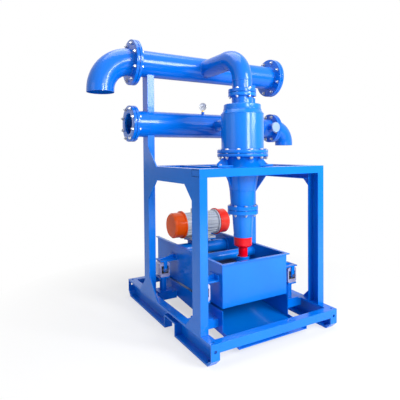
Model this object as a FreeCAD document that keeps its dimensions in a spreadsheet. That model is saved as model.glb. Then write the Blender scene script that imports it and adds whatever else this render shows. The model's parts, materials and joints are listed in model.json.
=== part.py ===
"""Hydrocyclone desander: one cyclone in a four-post skid frame over a vibrating dewatering screen.

Frame of the part: X to the right, Y to the rear, Z up, origin on the floor at the centre of the
skid's four anchor holes. Every driving size is a cell of the sheet "Sizes", in millimetres.
"""
import FreeCAD, Part
import math
import os
import Sketcher
from FreeCAD import Placement, Rotation, Vector

doc = FreeCAD.newDocument("Hydrocyclone")

# ---------------------------------------------------------------- driving sizes
SIZES = {
    # skid and frame
    "skid_length": 1520, "skid_width": 1130, "runner_depth": 155, "runner_flange": 65,
    "runner_web": 10, "runner_rim": 15, "sled_rise": 47, "sled_run": 48, "runner_hole": 22,
    "top_hole_inset": 33, "plate_hole_level": 105, "anchor_y": 680,
    "fork_start": -236, "fork_end": -66, "fork_rise": 93, "plate_wall": 10,
    "cross_beam": 60, "beam_wall": 5,
    "post_width": 60, "post_depth": 108, "post_wall": 7,
    "front_post_y": -575, "rear_post_y": 286, "frame_top": 1252, "side_beam_depth": 110,
    "front_beam_depth": 57, "cyclone_beam_x": 222, "gusset_wall": 10,
    "front_gusset": 105, "rear_gusset": 165, "weld_gap": 0.3,
    # cyclone
    "cyclone_y": -325, "shell_wall": 8, "neck_radius": 82, "overflow_radius": 78,
    "clamp_radius": 109, "clamp_top": 1850, "clamp_wall": 26, "cover_top": 1732, "cover_radius": 145,
    "cover_depth": 40, "shoulder_depth": 34, "body_radius": 166, "finder_radius": 62,
    "finder_wall": 7, "finder_end": 1480,
    "head_bolt_room": 18, "head_edge": 15, "head_flange_wall": 24, "head_joint": 1353,
    "cone_top_radius": 150, "cone_knee_radius": 103, "cone_knee": 1066, "cone_end_radius": 94,
    "apex_flange_radius": 119, "apex_flange_wall": 30, "apex_joint": 912, "apex_pitch": 106,
    "lower_top_radius": 84, "lower_end_radius": 72, "lip_depth": 16,
    "cup_radius": 70, "cup_top": 698, "cup_bottom": 616, "spigot_radius": 36, "spigot_end": 535,
    "spigot_bore": 22, "liner_wall": 10, "lug_reach": 262, "lug_plate": 12, "lug_width": 110,
    "lug_top": 1330, "lug_wall": 12, "inlet_radius": 50, "inlet_wall": 6, "inlet_x": 98,
    # headers
    "header_y": 286, "header_radius": 109.5, "header_wall": 6, "flange_wall": 24, "gasket_wall": 3,
    "overflow_level": 2112, "overflow_left": -674, "overflow_right": 793,
    "overflow_flange_radius": 184.5, "overflow_pitch": 155.5, "overflow_bend": 245,
    "overflow_elbow_tail": 18, "cyclone_bend": 195,
    "feed_level": 1606, "feed_left": -690, "feed_right": 805, "feed_flange_radius": 150,
    "feed_pitch": 130, "feed_bore": 87, "feed_elbow_radius": 88,
    "feed_bend": 145, "feed_elbow_tail": 27, "feed_end_flange_radius": 142, "feed_end_pitch": 119,
    "nozzle_x": 730, "nozzle_radius": 40, "nozzle_end": 131, "cap_radius": 49, "cap_wall": 16,
    "bolt_hole": 9, "bolt_radius": 8, "bolt_head": 13, "bolt_head_depth": 10, "nut_depth": 13,
    "small_bolt_hole": 6.5, "small_bolt_radius": 6, "small_bolt_head": 10, "small_head_depth": 8,
    # pressure gauge
    "gauge_x": 0, "gauge_level": 1783, "gauge_radius": 35, "gauge_depth": 28, "gauge_wall": 2,
    "gauge_bezel": 4, "socket_radius": 14, "socket_depth": 20, "stem_radius": 6,
    # screen
    "box_width": 604, "box_front": -490, "box_rear": 650, "box_bottom": 239, "box_top": 560,
    "box_wall": 8, "rim_reach": 18, "rim_wall": 8, "deck_level": 330, "deck_wall": 14, "rail_width": 40,
    "rail_wall": 6, "slot_width": 10, "slot_length": 90, "slot_count": 12,
    "cross_tube_radius": 38, "cross_tube_y": -64, "cross_tube_level": 490,
    "motor_tube_radius": 57, "motor_tube_y": 396, "motor_tube_level": 460, "tube_wall": 6,
    "funnel_radius": 50, "funnel_wall": 6, "funnel_top": 546, "funnel_depth": 90, "tongue_wall": 8,
    # vibration motor
    "motor_y": 381, "motor_level": 699, "motor_radius": 96, "motor_half": 178, "motor_wall": 9,
    "cap_outer": 114, "cap_length": 112, "motor_cap_wall": 4, "cap_rim": 126, "cap_rim_wall": 12,
    "shaft_radius": 20, "bearing_radius": 42, "bearing_width": 24, "stator_bore": 58,
    "rotor_core": 55, "core_half": 95, "weight_radius": 92, "weight_width": 44, "running_gap": 0.05,
    "foot_width": 200, "foot_length": 250, "foot_wall": 20, "bracket_wall": 12, "fin_reach": 10,
    "fin_wall": 6, "terminal_width": 110, "terminal_depth": 46, "gland_radius": 13,
    # suspension
    "front_mount_y": -385, "rear_mount_y": 290, "mount_x": 415, "bracket_depth": 60,
    "bracket_length": 120, "base_wall": 12, "column_radius": 29, "column_wall": 5,
    "housing_bottom": 290, "housing_width": 88, "housing_depth": 126, "housing_length": 96,
    "housing_opening": 66, "core_size": 38, "cord_gap": 0.3, "hanger_wall": 10, "cheek_width": 30,
    "hanger_top": 470, "travel_gap": 8,
    # under-screen pan
    "pan_width": 620, "pan_front": -700, "pan_rear": 640, "pan_front_level": 36, "pan_rear_level": 143,
    "pan_wall": 5, "pan_top": 225, "pan_lip": 25, "pan_step": -500,
}

sheet = doc.addObject("Spreadsheet::Sheet", "Sizes")
for row, (alias, number) in enumerate(SIZES.items(), start=1):
    sheet.set(f"A{row}", alias.replace("_", " "))
    sheet.set(f"B{row}", str(number))
    sheet.setAlias(f"B{row}", alias)
doc.recompute()


class Size:
    """A cell of the sheet, or a formula of cells: its text for an expression and its number now."""

    def __init__(self, text, number):
        self.text = text
        self.number = number

    def join(self, sign, other, number):
        return Size(f"({self.text} {sign} {text_of(other)})", number)

    def __add__(self, other):
        return self.join("+", other, self.number + number_of(other))

    def __sub__(self, other):
        return self.join("-", other, self.number - number_of(other))

    def __mul__(self, other):
        return self.join("*", other, self.number * number_of(other))

    def __truediv__(self, other):
        return self.join("/", other, self.number / number_of(other))

    def __radd__(self, other):
        return Size(f"({text_of(other)} + {self.text})", number_of(other) + self.number)

    def __rsub__(self, other):
        return Size(f"({text_of(other)} - {self.text})", number_of(other) - self.number)

    def __rmul__(self, other):
        return self * other

    def __neg__(self):
        return Size(f"(0 - {self.text})", -self.number)


def text_of(size):
    return size.text if isinstance(size, Size) else repr(float(size))


def number_of(size):
    return size.number if isinstance(size, Size) else float(size)


class Cells:
    """Reads a cell of the sheet by its name, as a Size."""

    def __getattr__(self, alias):
        return Size(f"Sizes.{alias}", float(sheet.get(alias)))


at = Cells()
NODES = []
AXES = {"x": Vector(1, 0, 0), "y": Vector(0, 1, 0), "z": Vector(0, 0, 1)}
TURNS = {
    "x": Rotation(AXES["y"], 90),
    "y": Rotation(AXES["x"], -90),
    "z": Rotation(),
}


# ---------------------------------------------------------------- helpers: placing and Part solids
def rotation_of(turn):
    """An axis name stands for the turn that lays a thing's own Z along that axis."""
    return TURNS[turn] if isinstance(turn, str) else turn


def place(thing, spot, turn="z"):
    """Turns a thing so that its own Z lies along an axis, and binds its place to the sheet."""
    thing.Placement = Placement(Vector(), rotation_of(turn))
    for axis, size in zip("xyz", spot):
        thing.setExpression(f"Placement.Base.{axis}", text_of(size))
    return thing


def add(kind, name, **sizes):
    thing = doc.addObject(kind, name)
    for field, size in sizes.items():
        thing.setExpression(field, text_of(size))
    return thing


def block(name, low, size):
    """A box from its lowest corner."""
    box = add("Part::Box", name, Length=size[0], Width=size[1], Height=size[2])
    return place(box, low)


def rod(name, radius, length, spot, along="z"):
    return place(add("Part::Cylinder", name, Radius=radius, Height=length), spot, along)


def fuse(name, *things):
    whole = doc.addObject("Part::MultiFuse", name)
    whole.Shapes = list(things)
    return whole


def cut(name, base, *tools):
    result = doc.addObject("Part::Cut", name)
    result.Base = base
    result.Tool = tools[0] if len(tools) == 1 else fuse(name + "Tools", *tools)
    return result


def tube(name, radius, wall, length, spot, along="z"):
    outer = rod(name + "Outer", radius, length, spot, along)
    return cut(name, outer, rod(name + "Bore", radius - wall, length, spot, along))


def group(name, *things):
    """Separate solids that share one node."""
    whole = doc.addObject("Part::Compound", name)
    whole.Links = list(things)
    return whole


def node(label, thing):
    thing.Label = label
    NODES.append(thing)
    return thing


# ---------------------------------------------------------------- helpers: PartDesign bodies
def body(name, spot=(0, 0, 0), turn="z"):
    return place(doc.addObject("PartDesign::Body", name), spot, turn)


def sketch(host, role="XY_Plane", offset=0):
    """A sketch on one of the body's own origin planes, moved along the plane's normal."""
    drawing = host.newObject("Sketcher::SketchObject", host.Name + "Sketch")
    plane = next(f for f in host.Origin.OriginFeatures if f.Role == role)
    drawing.AttachmentSupport = [(plane, "")]
    drawing.MapMode = "FlatFace"
    drawing.setExpression("AttachmentOffset.Base.z", text_of(offset))
    return drawing


def measure(drawing, edge, end, spot):
    """Ties one point of a sketch to its two distances from the sketch's origin."""
    for kind, size in zip(("DistanceX", "DistanceY"), spot):
        index = drawing.addConstraint(Sketcher.Constraint(kind, -1, 1, edge, end, number_of(size)))
        drawing.setExpression(f"Constraints[{index}]", text_of(size))


def outline(drawing, points):
    """A closed outline of straight edges through points bound to the sheet."""
    first = drawing.GeometryCount
    corners = [Vector(number_of(x), number_of(y), 0) for x, y in points]
    for start, end in zip(corners, corners[1:] + corners[:1]):
        drawing.addGeometry(Part.LineSegment(start, end), False)
    count = len(points)
    for index in range(count):
        following = first + (index + 1) % count
        drawing.addConstraint(Sketcher.Constraint("Coincident", first + index, 2, following, 1))
    for index, spot in enumerate(points):
        measure(drawing, first + index, 1, spot)
    return drawing


def circle(drawing, radius, x=0, y=0):
    edge = drawing.addGeometry(
        Part.Circle(Vector(number_of(x), number_of(y), 0), Vector(0, 0, 1), number_of(radius)), False
    )
    index = drawing.addConstraint(Sketcher.Constraint("Radius", edge, number_of(radius)))
    drawing.setExpression(f"Constraints[{index}]", text_of(radius))
    measure(drawing, edge, 3, (x, y))
    return drawing


def rectangle(drawing, low, high):
    return outline(drawing, [low, (high[0], low[1]), high, (low[0], high[1])])


def feature(host, kind, drawing, length=None, **options):
    step = host.newObject(f"PartDesign::{kind}", host.Name + kind)
    step.Profile = drawing
    if length is not None:
        step.setExpression("Length", text_of(length))
    for field, value in options.items():
        setattr(step, field, value)
    return step


def pad(host, drawing, length, **options):
    return feature(host, "Pad", drawing, length, **options)


def pocket(host, drawing, length, **options):
    return feature(host, "Pocket", drawing, length, **options)


def turned(name, points, spot=(0, 0, 0), turn="z"):
    """A piece turned about its own Z, from (radius, height) points."""
    host = body(name, spot, turn)
    drawing = outline(sketch(host, "XZ_Plane"), points)
    feature(host, "Revolution", drawing, ReferenceAxis=(drawing, ["V_Axis"]), Angle=360)
    return host


def repeat(host, steps, drawing, count):
    """Repeats features round the normal through the sketch's origin."""
    doc.recompute()
    pattern = host.newObject("PartDesign::PolarPattern", host.Name + "Pattern")
    pattern.Originals = steps
    pattern.Axis = (drawing, ["N_Axis"])
    pattern.Angle = 360
    pattern.Occurrences = count
    host.Tip = pattern
    return pattern


def bolt_holes(host, top, depth, pitch, radius, count):
    """A circle of holes cut down from a level of a turned piece, none on its X axis."""
    drawing = sketch(host, "XY_Plane", top)
    half_step = math.pi / count
    circle(drawing, radius, pitch * math.cos(half_step), pitch * math.sin(half_step))
    doc.recompute()
    repeat(host, [pocket(host, drawing, depth)], drawing, count)


def ring(name, outer, inner, length, spot, turn="z"):
    return turned(name, [(inner, 0), (outer, 0), (outer, length), (inner, length)], spot, turn)


# ---------------------------------------------------------------- helpers: bolts as groups of solids
def hexagon(radius, bottom, depth):
    corners = [
        Vector(radius * math.cos(k * math.pi / 3), radius * math.sin(k * math.pi / 3), bottom)
        for k in range(7)
    ]
    return Part.Face(Part.makePolygon(corners)).extrude(Vector(0, 0, depth))


def bolt(shank, head, head_depth, nut_depth, grip):
    """A bolt and its nut along Z: the nut under level 0, the head on top of the grip."""
    pieces = [hexagon(head, grip, head_depth), hexagon(head, -nut_depth, nut_depth)]
    return Part.makeCylinder(shank, grip, Vector(0, 0, 0)).multiFuse(pieces)


def large_bolt(grip):
    nut = at.nut_depth.number
    return bolt(at.bolt_radius.number, at.bolt_head.number, at.bolt_head_depth.number, nut, grip.number)


def small_bolt(grip):
    depth = at.small_head_depth.number
    return bolt(at.small_bolt_radius.number, at.small_bolt_head.number, depth, depth, grip.number)


def placed(shape, spot, turn="z", shift=(0, 0)):
    """A copy of a bolt, shifted across its own axis, turned and moved to a spot."""
    where = Placement(Vector(*(number_of(size) for size in spot)), rotation_of(turn))
    across = Placement(Vector(number_of(shift[0]), number_of(shift[1]), 0), Rotation())
    copy = shape.copy()
    copy.Placement = where * across
    return copy


def bolt_circle(shape, pitch, count, spot, turn="z"):
    """Bolts on a circle, in the same places as bolt_holes."""
    angles = [(2 * k + 1) * math.pi / count for k in range(count)]
    return [placed(shape, spot, turn, (pitch * math.cos(a), pitch * math.sin(a))) for a in angles]


def solids(label, shapes):
    """A node whose solids are set from the sheet's numbers."""
    thing = doc.addObject("Part::Feature", "Solids")
    thing.Shape = Part.makeCompound(shapes)
    return node(label, thing)


# ---------------------------------------------------------------- skid
half_length = at.skid_length / 2
half_width = at.skid_width / 2
runner_inside = half_width - at.runner_flange
DIAGONAL = math.sqrt(2)


def runner(label, left_edge):
    """A channel on its side, mouth to the left, with sled ends, a fork pocket and corner holes."""
    host = body("Runner", (left_edge, 0, 0))
    side = sketch(host, "YZ_Plane")
    slope_foot = half_length - at.sled_run
    outline(side, [
        (-half_length, at.sled_rise), (-slope_foot, 0), (slope_foot, 0), (half_length, at.sled_rise),
        (half_length, at.runner_depth), (-half_length, at.runner_depth),
    ])
    pad(host, side, at.runner_flange)
    inner_end = half_length - at.plate_wall
    inner_foot = slope_foot - at.runner_rim + at.plate_wall * (DIAGONAL - 1)
    inner_rise = at.sled_rise + at.plate_wall * (DIAGONAL - 1)
    inner_top = at.runner_depth - at.runner_rim
    mouth = sketch(host, "YZ_Plane")
    outline(mouth, [
        (-inner_end, inner_rise), (-inner_foot, at.runner_rim), (inner_foot, at.runner_rim),
        (inner_end, inner_rise), (inner_end, inner_top), (-inner_end, inner_top),
    ])
    pocket(host, mouth, at.runner_flange - at.runner_web, Reversed=True)
    lining = sketch(host, "YZ_Plane")
    rectangle(lining, (at.fork_start - at.plate_wall, 0),
              (at.fork_end + at.plate_wall, at.fork_rise + at.plate_wall))
    pad(host, lining, at.runner_flange)
    fork = sketch(host, "YZ_Plane")
    rectangle(fork, (at.fork_start, -at.plate_wall), (at.fork_end, at.fork_rise))
    pocket(host, fork, at.runner_flange, Reversed=True)
    middle = at.runner_flange / 2
    hole = at.runner_hole / 2
    for level, reach in ((at.runner_depth, half_length - at.top_hole_inset), (at.runner_rim, at.anchor_y)):
        drawing = sketch(host, "XY_Plane", level)
        circle(drawing, hole, middle, reach)
        circle(drawing, hole, middle, -reach)
        pocket(host, drawing, at.runner_rim)
    for offset, reverse in ((half_length, False), (-half_length, True)):
        drawing = sketch(host, "XZ_Plane", offset)
        circle(drawing, hole, middle, at.plate_hole_level)
        pocket(host, drawing, at.plate_wall, Reversed=reverse)
    return node(label, host)


runner("skid_runner_left", -half_width)
runner("skid_runner_right", runner_inside)


def box_beam(low, size, along):
    """A square tube from its lowest corner, with open ends along an axis."""
    outer = block("BeamOuter", low, size)
    wall = at.beam_wall
    inner_low = [s if a == along else s + wall for a, s in zip("xyz", low)]
    inner_size = [s if a == along else s - wall * 2 for a, s in zip("xyz", size)]
    return cut("Beam", outer, block("BeamInner", inner_low, inner_size))


cross_bottom = at.runner_depth - at.cross_beam
cross_size = (runner_inside * 2, at.cross_beam, at.cross_beam)
node("cross_beams", group("CrossBeams", *[
    box_beam((-runner_inside, y, cross_bottom), cross_size, "x")
    for y in (-half_length, half_length - at.cross_beam)
]))

# ---------------------------------------------------------------- posts and top frame
post_half = at.post_depth / 2
front_post_rear = at.front_post_y + post_half
rear_post_front = at.rear_post_y - post_half
front_post_top = at.frame_top - at.front_beam_depth
side_bottom = at.frame_top - at.side_beam_depth
SIDES = (("left", -1), ("right", 1))


def channel_outline(drawing, sign, width, depth, wall):
    """A channel's section: its web on the origin side, its flanges reaching inwards."""
    reach = [width * -sign, wall * -sign]
    return outline(drawing, [
        (0, 0), (reach[0], 0), (reach[0], wall), (reach[1], wall),
        (reach[1], depth - wall), (reach[0], depth - wall), (reach[0], depth), (0, depth),
    ])


def post(name, sign, y, bottom, top):
    host = body(name, (half_width * sign, y - post_half, bottom))
    drawing = channel_outline(sketch(host), sign, at.post_width, at.post_depth, at.post_wall)
    pad(host, drawing, top - bottom)
    return host


def header_saddle(level):
    return rod("Saddle", at.header_radius + at.weld_gap, at.skid_width + 2,
               (-half_width - 1, at.header_y, level), "x")


front_posts, rear_posts, header_struts, side_beams, cyclone_beams = [], [], [], [], []
for side, sign in SIDES:
    front_posts.append(post("FrontPost", sign, at.front_post_y, at.runner_depth, front_post_top))
    lower = post("RearPost", sign, at.rear_post_y, at.runner_depth, at.feed_level)
    rear_posts.append(cut("RearPostCut", lower, header_saddle(at.feed_level)))
    upper = post("Strut", sign, at.rear_post_y, at.feed_level, at.overflow_level)
    saddles = (header_saddle(at.feed_level), header_saddle(at.overflow_level))
    header_struts.append(cut("StrutCut", upper, *saddles))

    host = body("SideBeam", (half_width * sign, 0, side_bottom))
    section = sketch(host, "XZ_Plane", -rear_post_front)
    channel_outline(section, sign, at.post_width, at.side_beam_depth, at.post_wall)
    pad(host, section, rear_post_front - front_post_rear)
    side_beams.append(host)

    host = body("CycloneBeam", ((at.cyclone_beam_x + at.cross_beam / 2) * sign, 0,
                                at.frame_top - at.cross_beam))
    section = sketch(host, "XZ_Plane", -(at.rear_post_y - at.cross_beam / 2))
    channel_outline(section, sign, at.cross_beam, at.cross_beam, at.post_wall)
    pad(host, section, at.rear_post_y - at.cross_beam / 2 - front_post_rear)
    seats = sketch(host, "XY_Plane", at.cross_beam)
    for way in (-1, 1):
        circle(seats, at.small_bolt_hole, at.cross_beam / 2 * -sign, at.cyclone_y + at.lug_width / 4 * way)
    pocket(host, seats, at.post_wall)
    cyclone_beams.append(host)

for label, things in (
    ("front_posts", front_posts), ("rear_posts", rear_posts), ("header_struts", header_struts),
    ("top_side_beams", side_beams), ("cyclone_beams", cyclone_beams),
):
    node(label, group("FrameGroup", *things))
rear_reach = half_width - at.post_wall
node("top_beam_front", box_beam((-half_width, at.front_post_y - post_half, front_post_top),
                                (at.skid_width, at.post_depth, at.front_beam_depth), "x"))
node("top_beam_rear", box_beam((-rear_reach, at.rear_post_y - at.cross_beam / 2, side_bottom),
                               (rear_reach * 2, at.cross_beam, at.side_beam_depth), "x"))


def gusset(sign, y, z, reach, rise):
    """A triangular plate in the plane of a post's web, with its square corner at (y, z)."""
    x = half_width - at.gusset_wall if sign > 0 else -half_width
    host = body("Gusset", (x, 0, 0))
    drawing = sketch(host, "YZ_Plane")
    outline(drawing, [(y, z), (y + reach, z), (y, z + rise)])
    pad(host, drawing, at.gusset_wall)
    return host


gussets = []
for side, sign in SIDES:
    front, rear = at.front_gusset, at.rear_gusset
    rear_post_back = at.rear_post_y + post_half
    gussets += [
        gusset(sign, front_post_rear, side_bottom, front, -front),
        gusset(sign, front_post_rear, at.runner_depth, front, front),
        gusset(sign, rear_post_front, side_bottom, -rear, -rear),
        gusset(sign, rear_post_front, at.frame_top, -rear, rear),
        gusset(sign, rear_post_front, at.runner_depth, -rear, rear),
        gusset(sign, rear_post_back, at.runner_depth, front, front),
    ]
node("corner_gussets", group("Gussets", *gussets))

# ---------------------------------------------------------------- cyclone
half_gasket = at.gasket_wall / 2
CYCLONE = (0, at.cyclone_y, 0)
wall = at.shell_wall
cover_bottom = at.cover_top - at.cover_depth
clamp_joint = at.clamp_top - at.clamp_wall - half_gasket
neck_bore = at.neck_radius - wall
body_bore = at.body_radius - wall
finder_hole = at.finder_radius + at.weld_gap
bevel = wall / 2

host = turned("Cover", [
    (finder_hole, cover_bottom), (at.cover_radius, cover_bottom), (at.cover_radius, at.cover_top - bevel),
    (at.cover_radius - bevel, at.cover_top), (at.neck_radius, at.cover_top),
    (at.neck_radius, clamp_joint - half_gasket - at.clamp_wall),
    (at.clamp_radius, clamp_joint - half_gasket - at.clamp_wall),
    (at.clamp_radius, clamp_joint - half_gasket), (neck_bore, clamp_joint - half_gasket),
    (neck_bore, at.cover_top), (finder_hole, at.cover_top),
], CYCLONE)
clamp_pitch = (at.clamp_radius + at.neck_radius) / 2
CLAMP_BOLTS = 6
bolt_holes(host, clamp_joint - half_gasket, at.clamp_wall, clamp_pitch, at.small_bolt_hole, CLAMP_BOLTS)
node("cyclone_cover", host)
gaskets = [ring("ClampGasket", at.neck_radius, neck_bore, at.gasket_wall,
                (0, at.cyclone_y, clamp_joint - half_gasket))]

finder_bore = at.finder_radius - at.finder_wall
node("vortex_finder", turned("Finder", [
    (finder_bore, at.finder_end), (at.finder_radius, at.finder_end),
    (at.finder_radius, at.cover_top), (neck_bore - at.weld_gap, at.cover_top),
    (neck_bore - at.weld_gap, at.cover_top + at.finder_wall), (finder_bore, at.cover_top + at.finder_wall),
], CYCLONE))

body_bottom = at.head_joint + half_gasket
head_pitch = at.body_radius + at.head_bolt_room
head_flange_radius = head_pitch + at.head_edge
shoulder = cover_bottom - at.shoulder_depth
shell = turned("Shell", [
    (0, body_bottom), (head_flange_radius, body_bottom),
    (head_flange_radius, body_bottom + at.head_flange_wall),
    (at.body_radius, body_bottom + at.head_flange_wall), (at.body_radius, shoulder),
    (at.cover_radius, cover_bottom), (0, cover_bottom),
], CYCLONE)
cavity = turned("Cavity", [
    (0, body_bottom), (body_bore, body_bottom), (body_bore, shoulder),
    (at.cover_radius - wall, cover_bottom), (0, cover_bottom),
], CYCLONE)
HEAD_BOLTS = 12
bolt_holes(shell, body_bottom + at.head_flange_wall, at.head_flange_wall, head_pitch,
           at.bolt_hole, HEAD_BOLTS)
inlet_run = at.header_y - at.cyclone_y
inlet_spot = (at.inlet_x, at.cyclone_y, at.feed_level)
inlet_bore = at.inlet_radius - at.inlet_wall
inlet_pipe = rod("Inlet", at.inlet_radius, inlet_run, inlet_spot, "y")
feed_saddle = header_saddle(at.feed_level)
node("cyclone_body", cut("BodyCut", fuse("BodyWhole", shell, inlet_pipe), cavity,
                         rod("InletBore", inlet_bore, inlet_run, inlet_spot, "y"), feed_saddle))

liner_outer = body_bore - at.weld_gap
liner_inner = liner_outer - at.liner_wall
body_liner = ring("BodyLiner", liner_outer, liner_inner, shoulder - body_bottom,
                  (0, at.cyclone_y, body_bottom))
node("body_liner", cut("BodyLinerCut", body_liner,
                       rod("LinerInlet", inlet_bore, inlet_run, inlet_spot, "y")))
gaskets.append(ring("HeadGasket", at.body_radius, body_bore, at.gasket_wall,
                    (0, at.cyclone_y, at.head_joint - half_gasket)))

# upper cone, with a lug plate and a fin on each side
cone_top = at.head_joint - half_gasket
cone_shoulder = cone_top - at.head_flange_wall
cone_foot = at.apex_joint + half_gasket
apex_shoulder = cone_foot + at.apex_flange_wall
upper = turned("UpperCone", [
    (at.cone_end_radius - wall, cone_foot), (at.apex_flange_radius, cone_foot),
    (at.apex_flange_radius, apex_shoulder), (at.cone_end_radius, apex_shoulder),
    (at.cone_knee_radius, at.cone_knee), (at.cone_top_radius, cone_shoulder),
    (head_flange_radius, cone_shoulder), (head_flange_radius, cone_top),
    (at.cone_top_radius - wall, cone_top), (at.cone_top_radius - wall, cone_shoulder),
    (at.cone_knee_radius - wall, at.cone_knee),
], CYCLONE)
bolt_holes(upper, cone_top, at.head_flange_wall, head_pitch, at.bolt_hole, HEAD_BOLTS)
APEX_BOLTS = 8
bolt_holes(upper, apex_shoulder, at.apex_flange_wall, at.apex_pitch, at.small_bolt_hole, APEX_BOLTS)


def lug(sign):
    """A fin standing on the cone's side, through a seat plate that lies on a cyclone beam."""
    fin = body("LugFin", CYCLONE)
    inner = wall / 2
    drawing = sketch(fin, "XZ_Plane")
    outline(drawing, [(x * sign, z) for x, z in (
        (at.cone_knee_radius - inner, at.cone_knee), (at.cyclone_beam_x - at.cross_beam / 2, at.frame_top),
        (at.lug_reach - at.lug_plate * 2, at.frame_top), (at.lug_reach - at.lug_plate * 2, at.frame_top + 20),
        (at.cone_top_radius + at.lug_plate * 3, at.lug_top - at.lug_plate),
        (at.cone_top_radius - inner, at.lug_top - at.lug_plate),
        (at.cone_top_radius - inner, cone_shoulder),
    )])
    pad(fin, drawing, at.lug_wall, Midplane=True)
    seat = body("LugSeat", (0, at.cyclone_y, at.frame_top))
    drawing = sketch(seat)
    inner_edge = at.cone_knee_radius + at.lug_plate * 2
    outline(drawing, [(x * sign, y) for x, y in (
        (inner_edge, -at.lug_width / 2), (at.lug_reach, -at.lug_width / 2),
        (at.lug_reach, at.lug_width / 2), (inner_edge, at.lug_width / 2),
    )])
    pad(seat, drawing, at.lug_plate)
    holes = sketch(seat, "XY_Plane", at.lug_plate)
    for way in (-1, 1):
        circle(holes, at.small_bolt_hole, at.cyclone_beam_x * sign, at.lug_width / 4 * way)
    pocket(seat, holes, at.lug_plate)
    return [fin, seat]


cone_space = turned("ConeSpace", [
    (0, cone_foot), (at.cone_end_radius - wall, cone_foot), (at.cone_knee_radius - wall, at.cone_knee),
    (at.cone_top_radius - wall, cone_shoulder), (at.cone_top_radius - wall, cone_top), (0, cone_top),
], CYCLONE)
node("upper_cone", cut("UpperConeCut", fuse("UpperConeWhole", upper, *lug(-1), *lug(1)), cone_space))
gap = at.weld_gap + wall
liner_back = gap + at.liner_wall
node("upper_cone_liner", turned("UpperLiner", [
    (at.cone_end_radius - liner_back, cone_foot), (at.cone_end_radius - gap, cone_foot),
    (at.cone_knee_radius - gap, at.cone_knee), (at.cone_top_radius - gap, cone_shoulder),
    (at.cone_top_radius - gap, cone_top), (at.cone_top_radius - liner_back, cone_top),
    (at.cone_top_radius - liner_back, cone_shoulder), (at.cone_knee_radius - liner_back, at.cone_knee),
], CYCLONE))
gaskets.append(ring("ApexGasket", at.cone_end_radius, at.cone_end_radius - wall, at.gasket_wall,
                    (0, at.cyclone_y, at.apex_joint - half_gasket)))

# lower cone with the threaded boss that the cup screws on to
lower_top = at.apex_joint - half_gasket
lower_shoulder = lower_top - at.apex_flange_wall
boss = at.cup_radius - wall - at.weld_gap
boss_bore = at.lower_end_radius - wall * 2.5
boss_end = at.cup_bottom + wall * 6
lip = at.cup_top + at.lip_depth
lower = turned("LowerCone", [
    (boss_bore, boss_end), (boss, boss_end), (boss, at.cup_top), (at.lower_end_radius + 2, at.cup_top),
    (at.lower_end_radius + 2, lip), (at.lower_end_radius, lip), (at.lower_top_radius, lower_shoulder),
    (at.apex_flange_radius, lower_shoulder), (at.apex_flange_radius, lower_top),
    (at.lower_top_radius - wall, lower_top), (at.lower_top_radius - wall, lower_shoulder),
    (at.lower_end_radius - wall, lip), (boss_bore, at.cup_top),
], CYCLONE)
bolt_holes(lower, lower_top, at.apex_flange_wall, at.apex_pitch, at.small_bolt_hole, APEX_BOLTS)
node("lower_cone", lower)
node("lower_cone_liner", turned("LowerLiner", [
    (at.lower_end_radius - liner_back, lip), (at.lower_end_radius - gap, lip),
    (at.lower_top_radius - gap, lower_shoulder), (at.lower_top_radius - gap, lower_top),
    (at.lower_top_radius - liner_back, lower_top), (at.lower_top_radius - liner_back, lower_shoulder),
], CYCLONE))

cup_floor = at.cup_bottom + wall * 2
cup_bore = at.cup_radius - wall
spigot_hole = at.spigot_radius + at.weld_gap
node("apex_cup", turned("Cup", [
    (spigot_hole, at.cup_bottom), (at.spigot_radius + wall, at.cup_bottom), (at.cup_radius, cup_floor),
    (at.cup_radius, at.cup_top), (cup_bore, at.cup_top), (cup_bore, cup_floor), (spigot_hole, cup_floor),
], CYCLONE))
collar_top = cup_floor + wall
node("apex_spigot", turned("Spigot", [
    (at.spigot_bore, at.spigot_end), (at.spigot_radius, at.spigot_end), (at.spigot_radius, cup_floor),
    (boss, cup_floor), (boss, collar_top), (at.spigot_bore, collar_top),
], CYCLONE))
node("apex_insert", turned("Insert", [
    (at.spigot_bore, collar_top), (boss, collar_top), (boss, boss_end), (boss_bore, boss_end),
    (at.spigot_bore, (collar_top + boss_end) / 2),
], CYCLONE))

# overflow elbow, from the clamp to the upper header
BENDS = {
    "up_back": Rotation(Vector(0, -1, 0), Vector(0, 0, 1), Vector(-1, 0, 0), "ZXY"),
    "left_down": Rotation(Vector(0, 0, 1), Vector(-1, 0, 0), Vector(0, -1, 0), "ZXY"),
    "right_down": Rotation(Vector(0, 0, 1), Vector(1, 0, 0), Vector(0, 1, 0), "ZXY"),
}


def quarter_bend(name, bend, radius, centre, turn):
    """A quarter of a torus: it starts on its own X axis and turns towards its own Y axis."""
    arc = add("Part::Torus", name, Radius1=bend, Radius2=radius)
    arc.Angle3 = 90
    return place(arc, centre, BENDS[turn])


elbow_start = at.overflow_level - at.cyclone_bend
elbow_bottom = clamp_joint + half_gasket
elbow_y = at.cyclone_y + at.cyclone_bend
elbow_wall = at.header_wall
cyclone_to_header = at.header_y - elbow_y


def elbow_run(name, radius):
    return [
        rod(name + "Rise", radius, elbow_start - elbow_bottom, (0, at.cyclone_y, elbow_bottom)),
        quarter_bend(name + "Bend", at.cyclone_bend, radius, (0, elbow_y, elbow_start), "up_back"),
        rod(name + "Run", radius, cyclone_to_header, (0, elbow_y, at.overflow_level), "y"),
    ]


clamp = ring("Clamp", at.clamp_radius, at.overflow_radius - elbow_wall, at.clamp_wall,
             (0, at.cyclone_y, elbow_bottom))
bolt_holes(clamp, at.clamp_wall, at.clamp_wall, clamp_pitch, at.small_bolt_hole, CLAMP_BOLTS)
elbow_outer = fuse("ElbowOuter", clamp, *elbow_run("Elbow", at.overflow_radius))
node("overflow_elbow", cut("ElbowCut", elbow_outer,
                           *elbow_run("ElbowBore", at.overflow_radius - elbow_wall),
                           header_saddle(at.overflow_level)))

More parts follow.
